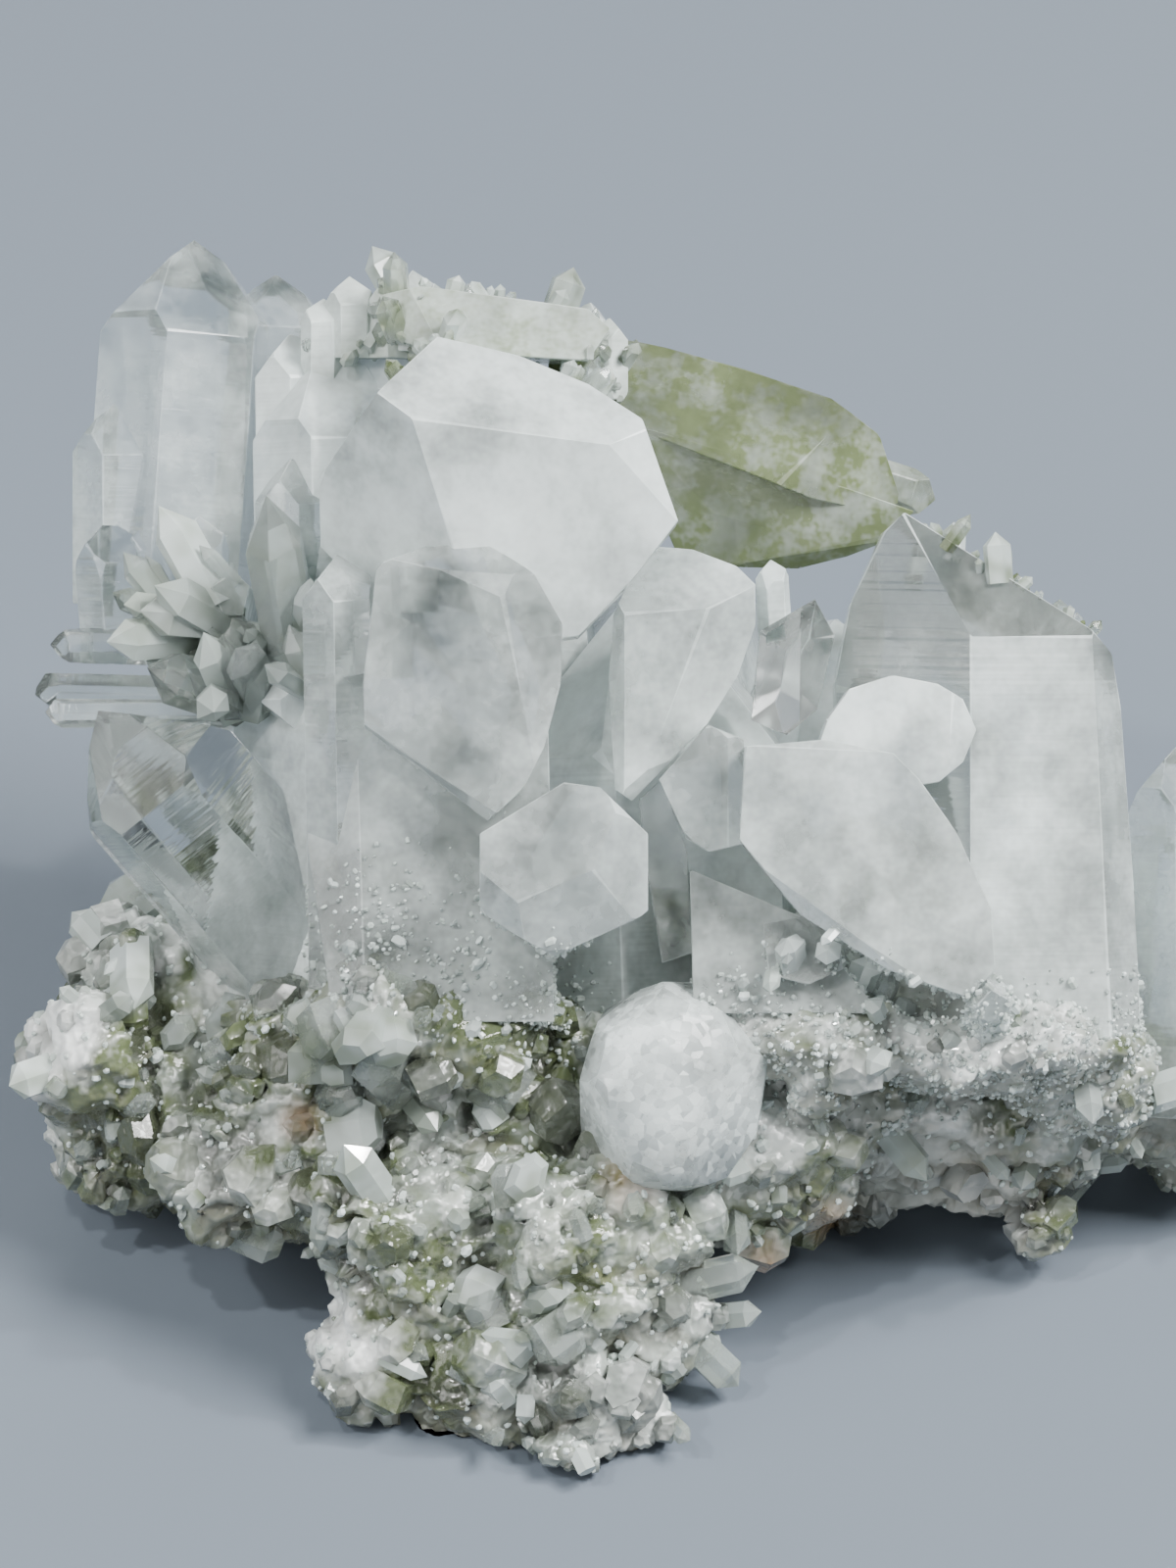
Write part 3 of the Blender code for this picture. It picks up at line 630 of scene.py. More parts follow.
def face_on(points):
    """Points in millimetres at rest, as rows of (u, v, w)."""
    return face_on_directions(points - np.array(placed((0, 0, 0))))


def in_circles(spots, circles):
    """How much each spot lies in the circles: 1 in the middle of one, 0 outside them all."""
    cover = np.zeros(len(spots))
    for u, v, radius, strength in circles:
        away = np.hypot(spots[:, 0] - u, spots[:, 1] - v) / radius
        cover = np.maximum(cover, strength * np.clip(1.4 - away, 0, 1))
    return cover


def rock_zones(spots):
    """How white, how green and how rusty the rock is at each face-on spot."""
    front = np.clip((spots[:, 2] + PATCH_DEPTH) / 3, 0, 1)
    return np.stack([in_circles(spots, [(*patch[:3], patch[3 + k]) for patch in PATCHES]) * front
                     for k in range(3)], 1)


def granulate(mesh, dice):
    """Break the skin into leaning grains of several sizes, leaving the flat break flat."""
    points = read_vectors(mesh.vertices, "co") / MM
    normals = read_vectors(mesh.vertices, "normal")
    flat_break = (normals[:, 2] < -0.9) & (points[:, 2] < 0.6)
    push = np.zeros(len(points))
    tint = np.zeros(len(points))
    for size, height, lean in GRAINS:
        count = int(len(points) * 0.16 / (size * size) * 1.2)
        seats = points[dice.choice(len(points), count, replace=False)]
        tree = KDTree(count)
        for i, seat in enumerate(seats):
            tree.insert(seat, i)
        tree.balance()
        nearest = np.array([tree.find(point)[1] for point in points])
        leans = dice.uniform(-lean, lean, (count, 3))
        heights = dice.uniform(-height, height, count)
        offset = ((points - seats[nearest]) * leans[nearest]).sum(1)
        push += heights[nearest] + np.clip(offset, -height, height)
        tint = dice.uniform(0, 1, count)[nearest]
    spots = face_on(points)
    push[flat_break] = 0
    push *= 1 - in_circles(spots, SMOOTH)
    # Painted shade: the deeper a spot lies between the grains, the darker it is painted.
    recess_shade = np.clip(-push / sum(height for _, height, _ in GRAINS) * 1.5, 0, 1)
    under = np.clip(-face_on_directions(normals)[:, 1] * 1.6 - 0.3, 0, 1)
    write_point_vectors(mesh, "zones", rock_zones(spots))
    write_point_vectors(mesh, "grain", np.stack((tint, recess_shade, under), 1))
    points += normals * push[:, None]
    points[:, 2] = np.maximum(points[:, 2], 0)
    mesh.vertices.foreach_set("co", (points * MM).ravel())
    mesh.polygons.foreach_set("use_smooth", np.ones(len(mesh.polygons), bool))
    mesh.update()


def write_point_vectors(mesh, name, values):
    """Keep a vector on every point of the mesh, for its material."""
    layer = mesh.attributes.new(name, "FLOAT_VECTOR", "POINT")
    layer.data.foreach_set("vector", values.astype(np.float32).ravel())


def buried(points):
    """Which of the points, in metres, lie inside a crystal."""
    inside = np.zeros(len(points), bool)
    for crystal in all_crystals():
        planes = crystal.planes()
        normals = np.array([normal for normal, _ in planes])
        reach = np.array([distance for _, distance in planes])
        inside |= ((points / MM) @ normals.T < reach - 0.1).all(1)
    return inside


def scatter_seats(objects, count, dice, keep):
    """Random spots on the objects, by area and by what keep says: places and normals."""
    corners = []
    for obj in objects:
        mesh = obj.data
        mesh.calc_loop_triangles()
        ends = np.empty(len(mesh.loop_triangles) * 3, np.int64)
        mesh.loop_triangles.foreach_get("vertices", ends)
        corners.append(read_vectors(mesh.vertices, "co")[ends].reshape(-1, 3, 3))
    corners = np.concatenate(corners)
    first, second = corners[:, 1] - corners[:, 0], corners[:, 2] - corners[:, 0]
    normals = np.cross(first, second)
    areas = np.linalg.norm(normals, axis=1)
    normals /= np.maximum(areas, 1e-15)[:, None]
    tries = max(count * TRIES_EACH, TRIES_LEAST)
    at = dice.choice(len(areas), tries, p=areas / areas.sum())
    shares = dice.uniform(0, 1, (2, tries, 1))
    shares = np.where(shares.sum(0) > 1, 1 - shares, shares)
    seats = corners[at, 0] + first[at] * shares[0] + second[at] * shares[1]
    chance = keep(face_on(seats / MM), normals[at])
    count = min(count, int((chance > 0).sum()))
    chosen = dice.choice(tries, count, replace=False, p=chance / chance.sum())
    return seats[chosen], normals[at][chosen]


TRIES_EACH = 40
TRIES_LEAST = 60000
FLOOR_GAP = 0.0008


def strew(name, seats, directions, lengths, widths, rings, dice):
    """Many small many-sided bodies in one mesh, each standing on its seat.

    rings has the height and width of each ring of corners, as shares of the body's length and
    width; a last ring of no width is a point.
    """
    vertices, faces, tints = [], [], []
    for seat, direction, length, width in zip(seats, directions, lengths, widths):
        axis = Vector(direction).normalized()
        side = axis.orthogonal().normalized()
        other = axis.cross(side)
        sides = 6 if len(rings) == 3 else int(dice.integers(4, 7))
        spin = dice.uniform(0, 2 * math.pi)
        skew = dice.uniform(0.6, 1.0)
        jitter = dice.uniform(0.8, 1.1, sides)
        first = len(vertices)
        for level, spread in rings:
            if spread == 0:
                vertices.append(Vector(seat) + axis * length * level)
                continue
            for k in range(sides):
                angle = spin + k * 2 * math.pi / sides
                out = side * math.cos(angle) + other * math.sin(angle) * skew
                vertices.append(Vector(seat) + out * width / 2 * spread * jitter[k]
                                + axis * length * level)
        faces.append([first + sides - 1 - k for k in range(sides)])
        for ring in range(len(rings) - 1):
            low, high = first + ring * sides, first + (ring + 1) * sides
            for k in range(sides):
                after = (k + 1) % sides
                if rings[ring + 1][1] == 0:
                    faces.append([low + k, low + after, high])
                else:
                    faces.append([low + k, low + after, high + after, high + k])
        if rings[-1][1] > 0:
            last = first + (len(rings) - 1) * sides
            faces.append([last + k for k in range(sides)])
        tints.append((len(vertices) - first, dice.uniform(0, 1), dice.uniform(0, 1)))
    for corner in vertices:
        corner.z = max(corner.z, 0.0)
    mesh = bpy.data.meshes.new(name)
    mesh.from_pydata(vertices, [], faces)
    mesh.update()
    values = np.concatenate([np.tile((a, b, 0.0), (count, 1)) for count, a, b in tints])
    write_point_vectors(mesh, "grain", values)
    write_point_vectors(mesh, "zones", rock_zones(face_on(read_vectors(mesh.vertices, "co") / MM)))
    return new_object(name, mesh)


# Materials

class Wire:
    """A socket of a material, with arithmetic that adds Math nodes."""

    def __init__(self, recipe, socket):
        self.recipe = recipe
        self.socket = socket

    def _math(self, operation, first, second):
        return self.recipe.node("ShaderNodeMath", {"operation": operation},
                                {0: first, 1: second})[0]

    def __add__(self, other):
        return self._math("ADD", self, other)

    def __radd__(self, other):
        return self._math("ADD", other, self)

    def __sub__(self, other):
        return self._math("SUBTRACT", self, other)

    def __rsub__(self, other):
        return self._math("SUBTRACT", other, self)

    def __mul__(self, other):
        return self._math("MULTIPLY", self, other)

    def __rmul__(self, other):
        return self._math("MULTIPLY", other, self)

    def __truediv__(self, other):
        return self._math("DIVIDE", self, other)

    def __abs__(self):
        return self._math("ABSOLUTE", self, 0.0)


class Outlets:
    """The outputs of a node, each as a Wire."""

    def __init__(self, recipe, node):
        self.recipe = recipe
        self.outputs = node.outputs

    def __getitem__(self, key):
        return Wire(self.recipe, self.outputs[key])


class Recipe:
    """A material under construction."""

    def __init__(self, name):
        self.material = bpy.data.materials.new(name)
        self.material.use_nodes = True
        self.tree = self.material.node_tree
        self.tree.nodes.clear()
        self.output = self.tree.nodes.new("ShaderNodeOutputMaterial")

    def node(self, kind, settings=None, values=None):
        """Add a node: its settings first, then the values or links of its sockets."""
        made = self.tree.nodes.new(kind)
        for key, value in (settings or {}).items():
            setattr(made, key, value)
        for key, value in (values or {}).items():
            if isinstance(value, Wire):
                self.tree.links.new(value.socket, made.inputs[key])
            elif made.inputs[key].type == "RGBA":
                made.inputs[key].default_value = (*value[:3], 1.0)
            else:
                made.inputs[key].default_value = value
        return Outlets(self, made)

    def attribute(self, name):
        """The three numbers that each face or point carries under the name."""
        vector = self.node("ShaderNodeAttribute", {"attribute_name": name})["Vector"]
        parts = self.node("ShaderNodeSeparateXYZ", None, {0: vector})
        return vector, parts["X"], parts["Y"], parts["Z"]

    def clamp(self, value):
        return self.node("ShaderNodeClamp", None, {"Value": value})[0]

    def noise(self, where, scale, detail=1.0, rough=0.5, warp=0.0):
        """A cloud pattern between 0 and 1; scale is in cells per metre."""
        return self.node("ShaderNodeTexNoise", {"noise_dimensions": "3D"},
                         {"Vector": where, "Scale": scale, "Detail": detail,
                          "Roughness": rough, "Distortion": warp})["Fac"]

    def lines(self, height, scale):
        """Bands across a direction, from the height along it."""
        return self.node("ShaderNodeTexNoise", {"noise_dimensions": "1D"},
                         {"W": height, "Scale": scale, "Detail": 1.0})["Fac"]

    def ramp(self, value, low, high):
        """value stretched so that low becomes 0 and high becomes 1."""
        return self.node("ShaderNodeMapRange", {"interpolation_type": "SMOOTHSTEP"},
                         {"Value": value, "From Min": low, "From Max": high})[0]

    def vector(self, operation, first, second=None, scale=None):
        values = {0: first}
        if second is not None:
            values[1] = second
        if scale is not None:
            values["Scale"] = scale
        return self.node("ShaderNodeVectorMath", {"operation": operation}, values)

    def mix(self, share, first, second):
        """Two colours mixed."""
        return self.node("ShaderNodeMix", {"data_type": "RGBA"},
                         {"Factor": share, 6: first, 7: second})[2]

    def bump(self, height, strength, distance):
        return self.node("ShaderNodeBump", None, {
            "Height": height, "Strength": strength, "Distance": distance})[0]

    def finish(self, surface, volume=None):
        self.tree.links.new(surface.socket, self.output.inputs["Surface"])
        if volume is not None:
            self.tree.links.new(volume.socket, self.output.inputs["Volume"])
        return self.material


def quartz_finish(name, looks, etched=0.3, clear=True, chlorite=False, sparkle=False):
    """Quartz that is clear where it grew slowly and milky where it is full of tiny voids.

    It follows each crystal's own growth axis: greyer at the root as painted shade, clouded,
    lighter on the worn edges as a painted rim highlight, with growth lines across the prism faces
    and etching on the others.
    """
    m = Recipe(name)
    geometry = m.node("ShaderNodeNewGeometry")
    place, normal = geometry["Position"], geometry["Normal"]
    axis = m.node("ShaderNodeAttribute", {"attribute_name": "growth_axis"})["Vector"]
    _, start, length, milk = m.attribute("growth_span")
    # tone here is the crystal's tone times the painted shade of its face.
    _, green, tone, worn_and_rim_highlight = m.attribute("growth_traits")
    height = m.vector("DOT_PRODUCT", place, axis)["Value"]
    along = (height - start) / length
    prism = 1 - m.ramp(abs(m.vector("DOT_PRODUCT", normal, axis)["Value"]), 0.2, 0.45)
    shifted = m.vector("ADD", place, m.vector("SCALE", axis, scale=0.37)[0])[0]

    clouds = m.noise(shifted, 150.0, 2.0, 0.62)
    pits = m.noise(shifted, 1500.0, 1.0, 0.7)
    depth = (clouds - 0.5) * 1.1 + (0.45 - along) * 0.3 + (pits - 0.5) * 0.2
    # Worn edges are made milkier and so lighter: a painted rim highlight.
    share = m.clamp(milk * 0.8 + depth + worn_and_rim_highlight * 0.1 + (tone - 1) * 0.25)

    if sparkle:
        relief = m.bump(facets(m, place, 1800.0), 0.5, 1.0)
    else:
        relief = m.bump(m.lines(height, 2400.0) * prism, 0.3, 0.00012)

    # Lighter on the worn edges as a painted rim highlight, greyer towards the root as painted shade.
    shade = m.clamp(tone + (clouds - 0.5) * 0.8 + (pits - 0.5) * 0.3 + worn_and_rim_highlight * 0.08
                    - m.ramp(along, 0.55, 0.0) * 0.35)
    # The grey end also carries the painted shade of the roots and of shaded faces.
    white = m.mix(shade, looks.grey_and_shade_colour, looks.milky_colour)
    tint = looks.clear_colour
    if chlorite:
        moss = m.ramp(m.noise(shifted, 420.0, 3.0, 0.85), 0.3, 0.8)
        patch = m.clamp(green * (0.42 + moss * 0.7))
        white = m.mix(patch, white, looks.chlorite_colour)
        tint = m.mix(patch, tint, looks.chlorite_glass)
        share = m.clamp(share + patch * 0.45)
    roughness = 0.08 + pits * 0.25 * etched + worn_and_rim_highlight * 0.1
    milky = m.node("ShaderNodeBsdfPrincipled", None, {
        "Base Color": white, "Roughness": roughness + 0.1, "IOR": 1.544,
        "Normal": relief})[0]
    glass = m.node("ShaderNodeBsdfPrincipled", None, {
        "Base Color": tint, "Roughness": roughness, "IOR": 1.544,
        "Transmission Weight": 1.0, "Normal": relief})[0]
    surface = m.node("ShaderNodeMixShader", None, {0: share, 1: glass, 2: milky})[0]
    if not clear:
        return m.finish(surface)
    volume = m.node("ShaderNodeVolumeAbsorption", None, {
        "Color": (0.80, 0.90, 0.88, 1.0), "Density": 12.0})[0]
    return m.finish(surface, volume)


def facets(m, place, scale):
    """Height of small flat faces that each lean their own way, in metres."""
    cells = m.node("ShaderNodeTexVoronoi", {"feature": "F1"},
                   {"Vector": place, "Scale": scale, "Randomness": 1.0})
    lean = m.vector("SUBTRACT", cells["Color"], (0.5, 0.5, 0.5))[0]
    away = m.vector("SUBTRACT", place, cells["Position"])[0]
    return m.vector("DOT_PRODUCT", lean, away)["Value"]


def rock_finish(name, looks):
    """Sugary rock: glassy white and grey grains, green chlorite, rust in a few places."""
    m = Recipe(name)
    place = m.node("ShaderNodeNewGeometry")["Position"]
    _, white, green, rust = m.attribute("zones")
    _, tint, recess_shade, under = m.attribute("grain")
    fine = m.noise(place, 1100.0, 1.0, 0.7)
    zone = m.noise(place, 130.0, 2.0, 0.62)
    shade = m.clamp(tint * 0.45 + m.ramp(fine, 0.3, 0.7) * 0.4 + 0.1)
    colour = m.mix(shade, looks.rock_grey, looks.rock_pale)
    specks = m.ramp(fine, 0.56, 0.62) * 0.45
    colour = m.mix(m.clamp(m.ramp(zone, 0.52, 0.66) * 0.4 + white * 1.4 + specks), colour,
                   looks.rock_white)
    moss = m.clamp((m.ramp(zone, 0.56, 0.38) + green * (0.5 + zone)) * (1.35 - shade))
    colour = m.mix(moss, colour, looks.chlorite_colour)
    colour = m.mix(m.clamp(rust * (0.2 + fine * 1.6)), colour, looks.rust_colour)
    # Painted shade in the hollows between grains; on the strewn blocks this channel holds a random
    # number, so they darken at random.
    colour = m.mix(m.clamp(recess_shade * 0.8), colour, looks.recess_shade_colour)
    # Darker olive towards the faces that look down.
    colour = m.mix(m.clamp(under * zone) * 0.8, colour, looks.underside_colour)
    glassy = m.clamp(m.ramp(zone, 0.66, 0.42) * 0.8 + tint * 0.5 - white * 0.3)
    relief = m.bump(fine, 0.8, 0.0004)
    stone = m.node("ShaderNodeBsdfPrincipled", None, {
        "Base Color": colour, "Roughness": 0.4 - glassy * 0.2, "IOR": 1.54,
        "Coat Weight": 0.3 + glassy * 0.7, "Coat Roughness": 0.05, "Normal": relief})[0]
    glass = m.node("ShaderNodeBsdfPrincipled", None, {
        "Base Color": m.mix(moss, looks.clear_colour, looks.chlorite_glass),
        "Roughness": 0.1, "IOR": 1.54, "Transmission Weight": 1.0, "Normal": relief})[0]
    return m.finish(m.node("ShaderNodeMixShader", None, {0: glassy * 0.3, 1: stone, 2: glass})[0])


def grain_finish(name, looks, milk, green):
    """Small glassy grains, each a little different."""
    m = Recipe(name)
    place = m.node("ShaderNodeNewGeometry")["Position"]
    _, tint, other, _ = m.attribute("grain")
    patch = m.noise(place, 260.0, 2.0, 0.6)
    chlorite = m.clamp((m.ramp(patch, 0.42, 0.66) + (other - 0.5) * 0.6) * green)
    relief = m.bump(patch, 0.2, 0.0003)
    share = m.clamp(milk + (tint - 0.5) * 0.7 + (patch - 0.5) * 0.4)
    glass = m.node("ShaderNodeBsdfPrincipled", None, {
        "Base Color": m.mix(chlorite, looks.clear_colour, looks.chlorite_glass),
        "Roughness": 0.04 + patch * 0.1, "IOR": 1.544, "Transmission Weight": 1.0,
        "Normal": relief})[0]
    milky = m.node("ShaderNodeBsdfPrincipled", None, {
        "Base Color": m.mix(chlorite, m.mix(other, looks.rock_pale, looks.milky_colour),
                            looks.chlorite_colour),
        "Roughness": 0.05 + patch * 0.12, "IOR": 1.544, "Normal": relief})[0]
    return m.finish(m.node("ShaderNodeMixShader", None, {0: share, 1: glass, 2: milky})[0])


def board_finish(looks):
    """A plain pale board."""
    m = Recipe("pale_board")
    place = m.node("ShaderNodeNewGeometry")["Position"]
    tooth = m.noise(place, 900.0, 2.0, 0.6)
    return m.finish(m.node("ShaderNodeBsdfPrincipled", None, {
        "Base Color": looks.board_colour, "Roughness": 0.8 + tooth * 0.1,
        "Specular IOR Level": 0.2, "Normal": m.bump(tooth, 0.05, 0.0002)})[0])


# The add-on's settings

def colour_setting(name, description, colour):
    """A colour that the user can change."""
    return FloatVectorProperty(name=name, description=description, subtype="COLOR", size=3,
                               default=colour, min=0, max=1)


class QuartzLooks(PropertyGroup):
    """Colours of the specimen and of the board under it."""

    milky_colour: colour_setting("Milky quartz", "Quartz full of tiny voids",
                                 (0.795, 0.875, 0.86))
    # Also the colour that the painted shade on the quartz, at roots and on shaded faces, turns to.
    grey_and_shade_colour: colour_setting("Grey quartz", "Quartz with few voids, over shadow",
                                (0.22, 0.24, 0.22))
    clear_colour: colour_setting("Clear quartz", "Tint of clear quartz", (0.96, 0.99, 0.985))
    chlorite_colour: colour_setting("Chlorite", "Green between the grains",
                                    (0.145, 0.18, 0.085))
    chlorite_glass: colour_setting("Chlorite in quartz", "Tint of quartz with chlorite in it",
                                   (0.58, 0.64, 0.42))
    rock_grey: colour_setting("Rock, grey grains", "Darker grains of the rock",
                              (0.30, 0.33, 0.30))
    rock_pale: colour_setting("Rock, pale grains", "Lighter grains of the rock",
                              (0.48, 0.545, 0.505))
    rock_white: colour_setting("Rock, white patches", "White patches of the rock",
                               (0.88, 0.91, 0.885))
    # Painted shade in the hollows between the grains.
    recess_shade_colour: colour_setting("Rock, cavities", "Hollows between the grains",
                                  (0.06, 0.065, 0.05))
    # Darker olive on the faces that look down.
    underside_colour: colour_setting("Underside", "Stain on the underside", (0.26, 0.24, 0.15))
    rust_colour: colour_setting("Rust", "Stain of iron rust", (0.42, 0.20, 0.06))
    board_colour: colour_setting("Board", "The board under the specimen", (0.145, 0.172, 0.205))


class QuartzSizes(PropertyGroup):
    """Sizes of the specimen's finer forms."""

    wear: FloatProperty(
        name="Wear", description="Width of a worn edge in millimetres", default=0.07, min=0.02,
        max=0.5)
    rock_cell: FloatProperty(
        name="Rock cell", description="Size of the faces of the rock's skin", default=0.0004,
        min=0.0002, max=0.001, unit="LENGTH")
    shard_count: IntProperty(
        name="Fragments", description="Large glassy fragments in the rock", default=45, min=0,
        max=200)
    druse_count: IntProperty(
        name="Druse points", description="Small crystals scattered over the rock", default=260,
        min=0, max=4000)
    block_count: IntProperty(
        name="Blocks", description="Blocky grains that stand out of the rock", default=650,
        min=0, max=4000)
    rubble_count: IntProperty(
        name="Rubble", description="Small broken grains scattered over the rock", default=350,
        min=0, max=6000)
    glint_count: IntProperty(
        name="Glints", description="Tiny bright grains scattered over the rock", default=3000,
        min=0, max=8000)
    sugar_count: IntProperty(
        name="Sugar", description="Small grains at the crystals' feet", default=6500, min=0,
        max=8000)
    crust_count: IntProperty(
        name="Crust", description="Green-white grains along the top edges", default=170, min=0,
        max=4000)
    feet_count: IntProperty(
        name="Feet", description="Small crystals between the feet of the large ones", default=40,
        min=0, max=400)
    thicket_count: IntProperty(
        name="Thicket", description="Small clear crystals at the left side", default=45, min=0,
        max=400)


# The operators, one for each piece or group of like pieces

def settle(obj, finish, slot, *nodes):
    """Give the piece its finish, seat it on the specimen's body and let it stand for the nodes."""
    obj.data.materials.clear()
    obj.data.materials.append(finish)
    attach(obj, "root")
    if nodes:
        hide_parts(*nodes)


class SPECIMEN_OT_cluster(Operator):
    """Grow the crystals of the main cluster: the milky ones, then the clear ones at the left"""
    bl_idname = "specimen.cluster"
    bl_label = "Main cluster"

    def execute(self, context):
        scene = context.scene
        looks, wear = scene.quartz_looks, scene.quartz_sizes.wear
        milky = grow("milky_crystals", CORE + MIDDLE + FACED + RIGHT + BACK, wear)
        settle(milky, quartz_finish("milky_quartz", looks, 0.35, clear=False), "milky_quartz",
               "quartz_cluster")
        corner = grow("corner_crystals", TOP_LEFT + LEFT_SPRAY, wear)
        settle(corner, quartz_finish("corner_quartz", looks, 0.3, chlorite=True), "clear_quartz",
               "quartz_cluster")
        return {"FINISHED"}


class SPECIMEN_OT_lone_crystals(Operator):
    """Grow the crystals that stand apart: the clear one at the lower left and the edge ones"""
    bl_idname = "specimen.lone_crystals"
    bl_label = "Lone crystals"

    def execute(self, context):
        scene = context.scene
        wear = scene.quartz_sizes.wear
        finish = quartz_finish("clear_quartz", scene.quartz_looks, 0.15)
        settle(grow("clear_crystal", LOWER_LEFT, wear), finish, "clear_quartz",
               "lower_left_crystal")
        settle(grow("edge_pair", EDGE, wear), finish, "clear_quartz", "edge_crystals")
        return {"FINISHED"}


class SPECIMEN_OT_green_crystals(Operator):
    """Grow the crystals clouded green by chlorite, with the points along the top edge"""
    bl_idname = "specimen.green_crystals"
    bl_label = "Green crystals"

    def execute(self, context):
        scene = context.scene
        obj = grow("green_crystals", PLATES + GREEN_FACED + fringe_crystals(),
                   scene.quartz_sizes.wear)
        settle(obj, quartz_finish("chlorite_quartz", scene.quartz_looks, 0.5, clear=False,
                                  chlorite=True),
               "chlorite_quartz", "chlorite_crystals")
        return {"FINISHED"}


class SPECIMEN_OT_nodule(Operator):
    """Grow the rounded frosted crystal in front of the rock"""
    bl_idname = "specimen.nodule"
    bl_label = "Rounded crystal"

    def execute(self, context):
        scene = context.scene
        centre, radii, faces = NODULE
        planes = lump_planes(centre, radii, faces, random.Random(SEED), NODULE_ROUGH)
        obj = grown_crystal("rounded_frosted", planes, turned((0, -0.6, 0.8)).normalized(),
                            (0.7, 0.85, 0.0), 0.9)
        obj.data.polygons.foreach_set("use_smooth", [True] * len(obj.data.polygons))
        settle(obj, quartz_finish("frosted_quartz", scene.quartz_looks, 1.0, clear=False,
                                  sparkle=True), "milky_quartz", "rounded_crystal")
        return {"FINISHED"}


class SPECIMEN_OT_rock(Operator):
    """Make the granular rock"""
    bl_idname = "specimen.rock"
    bl_label = "Rock"

    def execute(self, context):
        scene = context.scene
        rock = joined_lumps()
        remesh(rock, scene.quartz_sizes.rock_cell)
        granulate(rock.data, np.random.default_rng(SEED))
        settle(rock, rock_finish("sugary_rock", scene.quartz_looks), "matrix_rock", "matrix")
        return {"FINISHED"}


# Which way some of the grains lean, face-on.
PULLS = {"thicket": (-0.4, 0.9, 0.2), "crust": (0, 1, 0.2), "feet": (0, 0.6, 0.3)}


class SPECIMEN_OT_grains(Operator):
    """Strew small crystals and broken grains over the rock and the crystals' feet"""
    bl_idname = "specimen.grains"
    bl_label = "Grains"

    def execute(self, context):
        scene = context.scene
        sizes, looks = scene.quartz_sizes, scene.quartz_looks
        dice = np.random.default_rng(SEED)
        rock = [bpy.data.objects["rock"]]
        crystals = [bpy.data.objects[name] for name in ("milky_crystals", "corner_crystals")]
        green = [bpy.data.objects[name] for name in ("green_crystals", "milky_crystals")]
        corner = crystals[1:]
        point = ((-0.3, 1.0), (0.65, 1.0), (1.0, 0.0))
        block = ((-0.4, 0.9), (0.3, 1.0), (0.55, 0.6))
        chunk = ((-0.6, 0.8), (0.1, 1.0), (0.4, 0.6))

        def outward(spots, normals):
            return (normals[:, 2] > -0.3) * (1.02 - in_circles(spots, SMOOTH))

        def everywhere(spots, normals):
            return (normals[:, 2] > -0.3) * 1.0

        def shattered(spots, normals):
            return in_circles(spots, SHARDS) * (spots[:, 2] > 0)

        def footed(spots, normals):
            return in_circles(spots, FEET) * (spots[:, 2] > 0)

        def sugared(spots, normals):
            front = np.clip(spots[:, 2] / 2, 0, 1)
            return in_circles(spots, SUGAR) * front

        def crusted(spots, normals):
            return in_circles(spots, CRUST) * (np.abs(spots[:, 2] + 1) < 8)

        def crowded(spots, normals):
            return in_circles(spots, THICKET) * (spots[:, 2] > 0)

        kinds = (
            ("blocks", rock, sizes.block_count, outward, 0.6, (0.45, 0.6), (0.5, 0.9), chunk,
             None, None),
            ("shards", rock, sizes.shard_count, shattered, 0.5, (1.15, 0.25), (0.6, 0.9), block,
             0.4, 0.65),
            ("druse", rock, sizes.druse_count, outward, 0.5, (0.1, 0.4), (0.9, 1.7), point,
             0.4, 0.5),
            ("rubble", rock, sizes.rubble_count, everywhere, 0.9, (-0.2, 0.4), (0.6, 1.0), block,
             0.55, 0.7),
            ("glints", rock, sizes.glint_count, everywhere, 0.5, (-0.9, 0.3), (0.5, 0.8), block,
             1.0, 0.2),
            ("feet", crystals[:1], sizes.feet_count, footed, 0.4, (0.35, 0.35), (0.8, 1.4), point,
             0.65, 0.1),
            ("sugar", crystals + rock, sizes.sugar_count, sugared, 0.7, (-1.55, 0.4), (0.8, 1.2), point,
             0.7, 0.1),
            ("crust", green, sizes.crust_count, crusted, 0.6, (-0.2, 0.5), (0.8, 1.4), point,
             0.5, 1.0),
            ("thicket", corner, sizes.thicket_count, crowded, 0.4, (0.6, 0.35), (1.3, 2.2),
             point, 0.45, 0.4),
        )
        for name, hosts, count, keep, stray, (size, spread), shape, rings, milk, moss in kinds:
            pull = np.array(turned(PULLS.get(name, (0, 0, 0))))
            seats, normals = scatter_seats(hosts, count, dice, keep)
            shown = ~buried(seats + normals * 0.0003) & (seats[:, 2] > FLOOR_GAP)
            seats, normals = seats[shown], normals[shown]
            count = len(seats)
            directions = normals + pull + dice.normal(0, stray, (count, 3))
            widths = np.minimum(dice.lognormal(size, spread, count), 4.5) * MM
            lengths = widths * dice.uniform(*shape, count)
            obj = strew(name, seats, directions, lengths, widths, rings, dice)
            finish = (grain_finish(name + "_quartz", looks, milk, moss) if milk
                      else bpy.data.materials["sugary_rock"])
            settle(obj, finish, "matrix_rock")
        return {"FINISHED"}


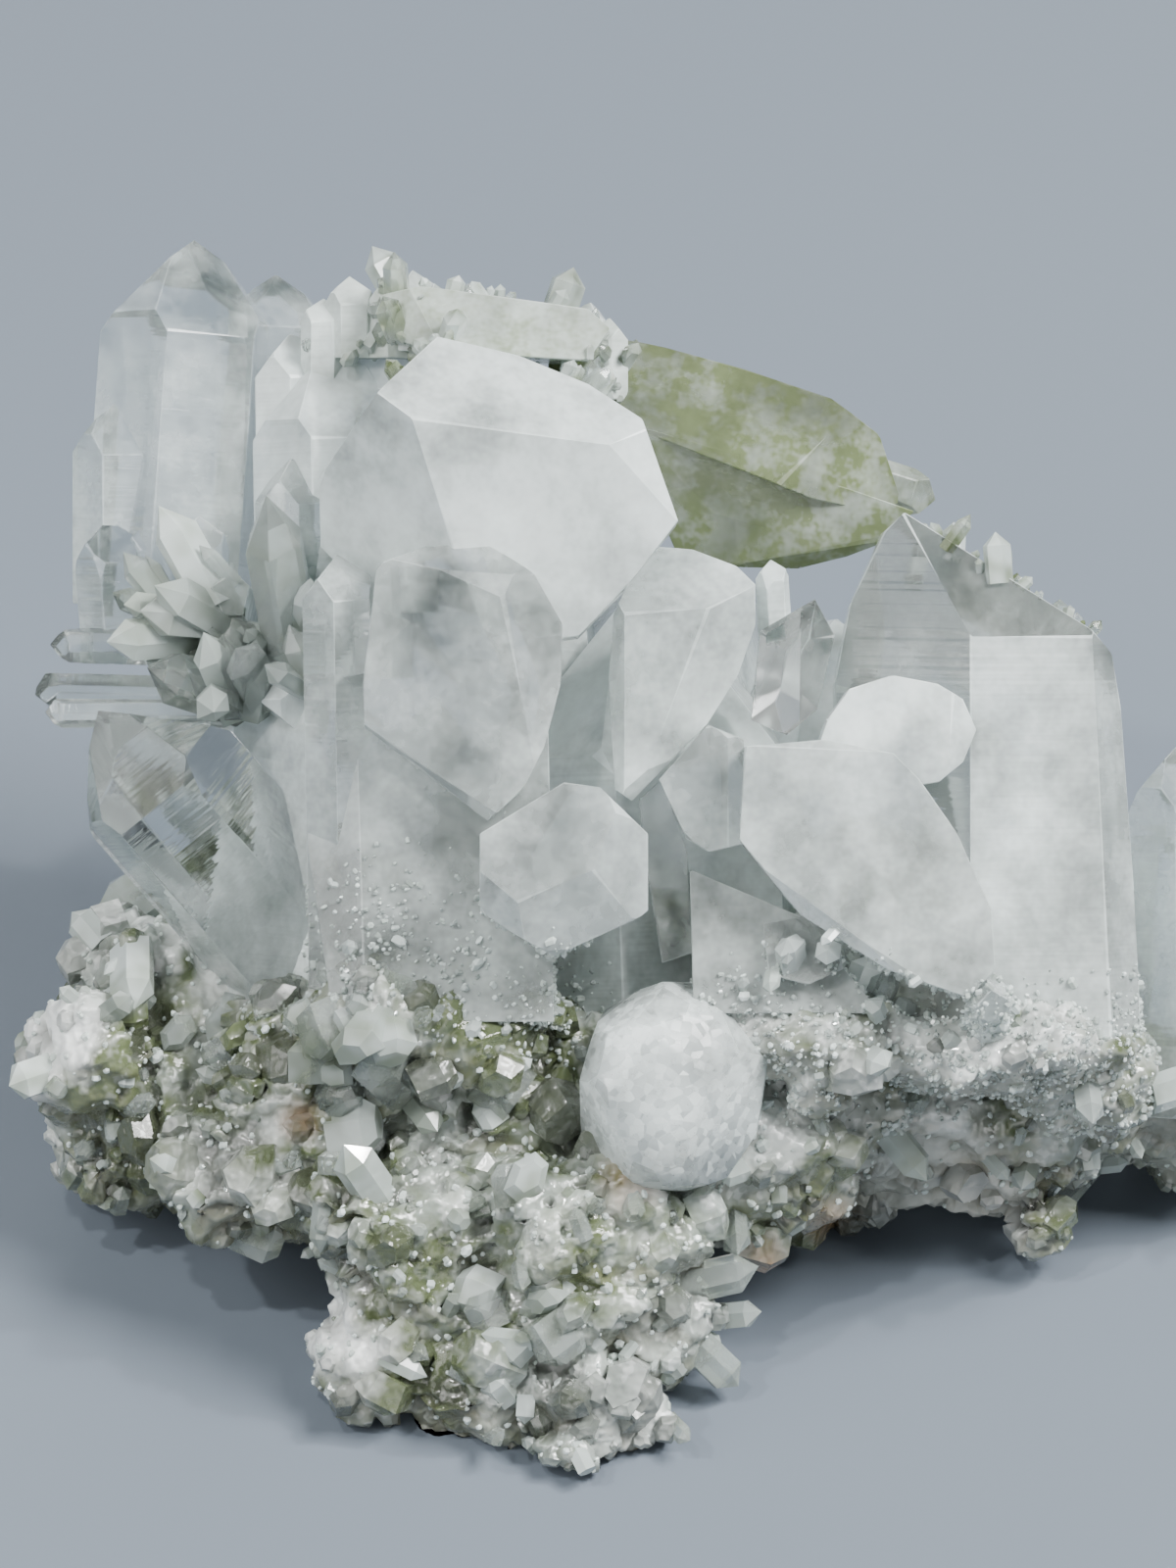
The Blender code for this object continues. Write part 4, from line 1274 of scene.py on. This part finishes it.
class SPECIMEN_OT_stage(Operator):
    """Lay the pale board, hang the soft lights and set the camera at the viewing angle"""
    bl_idname = "specimen.stage"
    bl_label = "Stage"

    def execute(self, context):
        scene = context.scene
        bm = bmesh.new()
        bmesh.ops.create_grid(bm, x_segments=1, y_segments=1, size=2000.0)
        board = object_from("board", bm)
        board.data.materials.append(board_finish(scene.quartz_looks))

        world = bpy.data.worlds.new("soft_room")
        world.use_nodes = True
        sky = world.node_tree.nodes["Background"]
        sky.inputs["Color"].default_value = (0.80, 0.86, 0.92, 1.0)
        sky.inputs["Strength"].default_value = 0.13
        scene.world = world
        for light in LIGHTS:
            add_light(*light)

        towards = turned((0, 0, 1)).normalized()
        up = turned((0, 1, 0)).normalized()
        camera = bpy.data.cameras.new("camera")
        camera.sensor_fit = "VERTICAL"
        camera.sensor_height = SENSOR_HEIGHT
        camera.lens = SENSOR_HEIGHT * CAMERA_DISTANCE * PIXELS_PER_MM / PHOTO_HEIGHT
        camera.clip_start = 0.01
        obj = bpy.data.objects.new("camera", camera)
        spot = Matrix((Vector((1, 0, 0)), up, towards)).transposed().to_4x4()
        spot.translation = (placed((0, 0, 0)) + towards * CAMERA_DISTANCE) * MM
        obj.matrix_world = spot
        scene.collection.objects.link(obj)
        scene.camera = obj
        return {"FINISHED"}


# Lights: name, place in the face-on frame in millimetres, size in metres, power in watts.
LIGHTS = [
    ("key_window", (330, 330, 330), 0.25, 7.0),
    ("fill_panel", (-420, 120, 360), 0.5, 2.2),
    ("rim_panel", (-100, 500, -200), 0.4, 1.2),
    ("low_card", (220, -290, 420), 0.5, 1.2),
    ("small_lamp", (420, 420, 300), 0.025, 1.6),
    ("second_lamp", (-320, 260, 420), 0.025, 1.2),
    ("third_lamp", (-150, 330, 500), 0.025, 1.2),
]


def add_light(name, face_on_place, size, power):
    """A square light that looks at the specimen."""
    light = bpy.data.lights.new(name, "AREA")
    light.shape = "SQUARE"
    light.size = size
    light.energy = power
    obj = bpy.data.objects.new(name, light)
    spot = placed(face_on_place) * MM
    obj.location = spot
    obj.rotation_euler = (placed((0, -5, 0)) * MM - spot).to_track_quat("-Z", "Y").to_euler()
    bpy.context.scene.collection.objects.link(obj)


class SPECIMEN_PT_panel(Panel):
    """Settings and steps of the specimen"""
    bl_idname = "SPECIMEN_PT_panel"
    bl_label = "Quartz cluster"
    bl_space_type = "VIEW_3D"
    bl_region_type = "UI"
    bl_category = "Quartz"

    def draw(self, context):
        for step in STEPS:
            self.layout.operator(step.bl_idname)
        for settings in (context.scene.quartz_looks, context.scene.quartz_sizes):
            for name in settings.bl_rna.properties.keys():
                if name not in ("rna_type", "name"):
                    self.layout.prop(settings, name)


STEPS = (SPECIMEN_OT_cluster, SPECIMEN_OT_lone_crystals, SPECIMEN_OT_green_crystals,
         SPECIMEN_OT_nodule, SPECIMEN_OT_rock, SPECIMEN_OT_grains, SPECIMEN_OT_stage)
CLASSES = (QuartzLooks, QuartzSizes, *STEPS, SPECIMEN_PT_panel)


def register():
    for cls in CLASSES:
        bpy.utils.register_class(cls)
    bpy.types.Scene.quartz_looks = PointerProperty(type=QuartzLooks)
    bpy.types.Scene.quartz_sizes = PointerProperty(type=QuartzSizes)


def unregister():
    del bpy.types.Scene.quartz_looks
    del bpy.types.Scene.quartz_sizes
    for cls in reversed(CLASSES):
        bpy.utils.unregister_class(cls)


def main():
    """Run every step."""
    register()
    for step in STEPS:
        area, name = step.bl_idname.split(".")
        getattr(getattr(bpy.ops, area), name)()


if __name__ == "__main__":
    main()
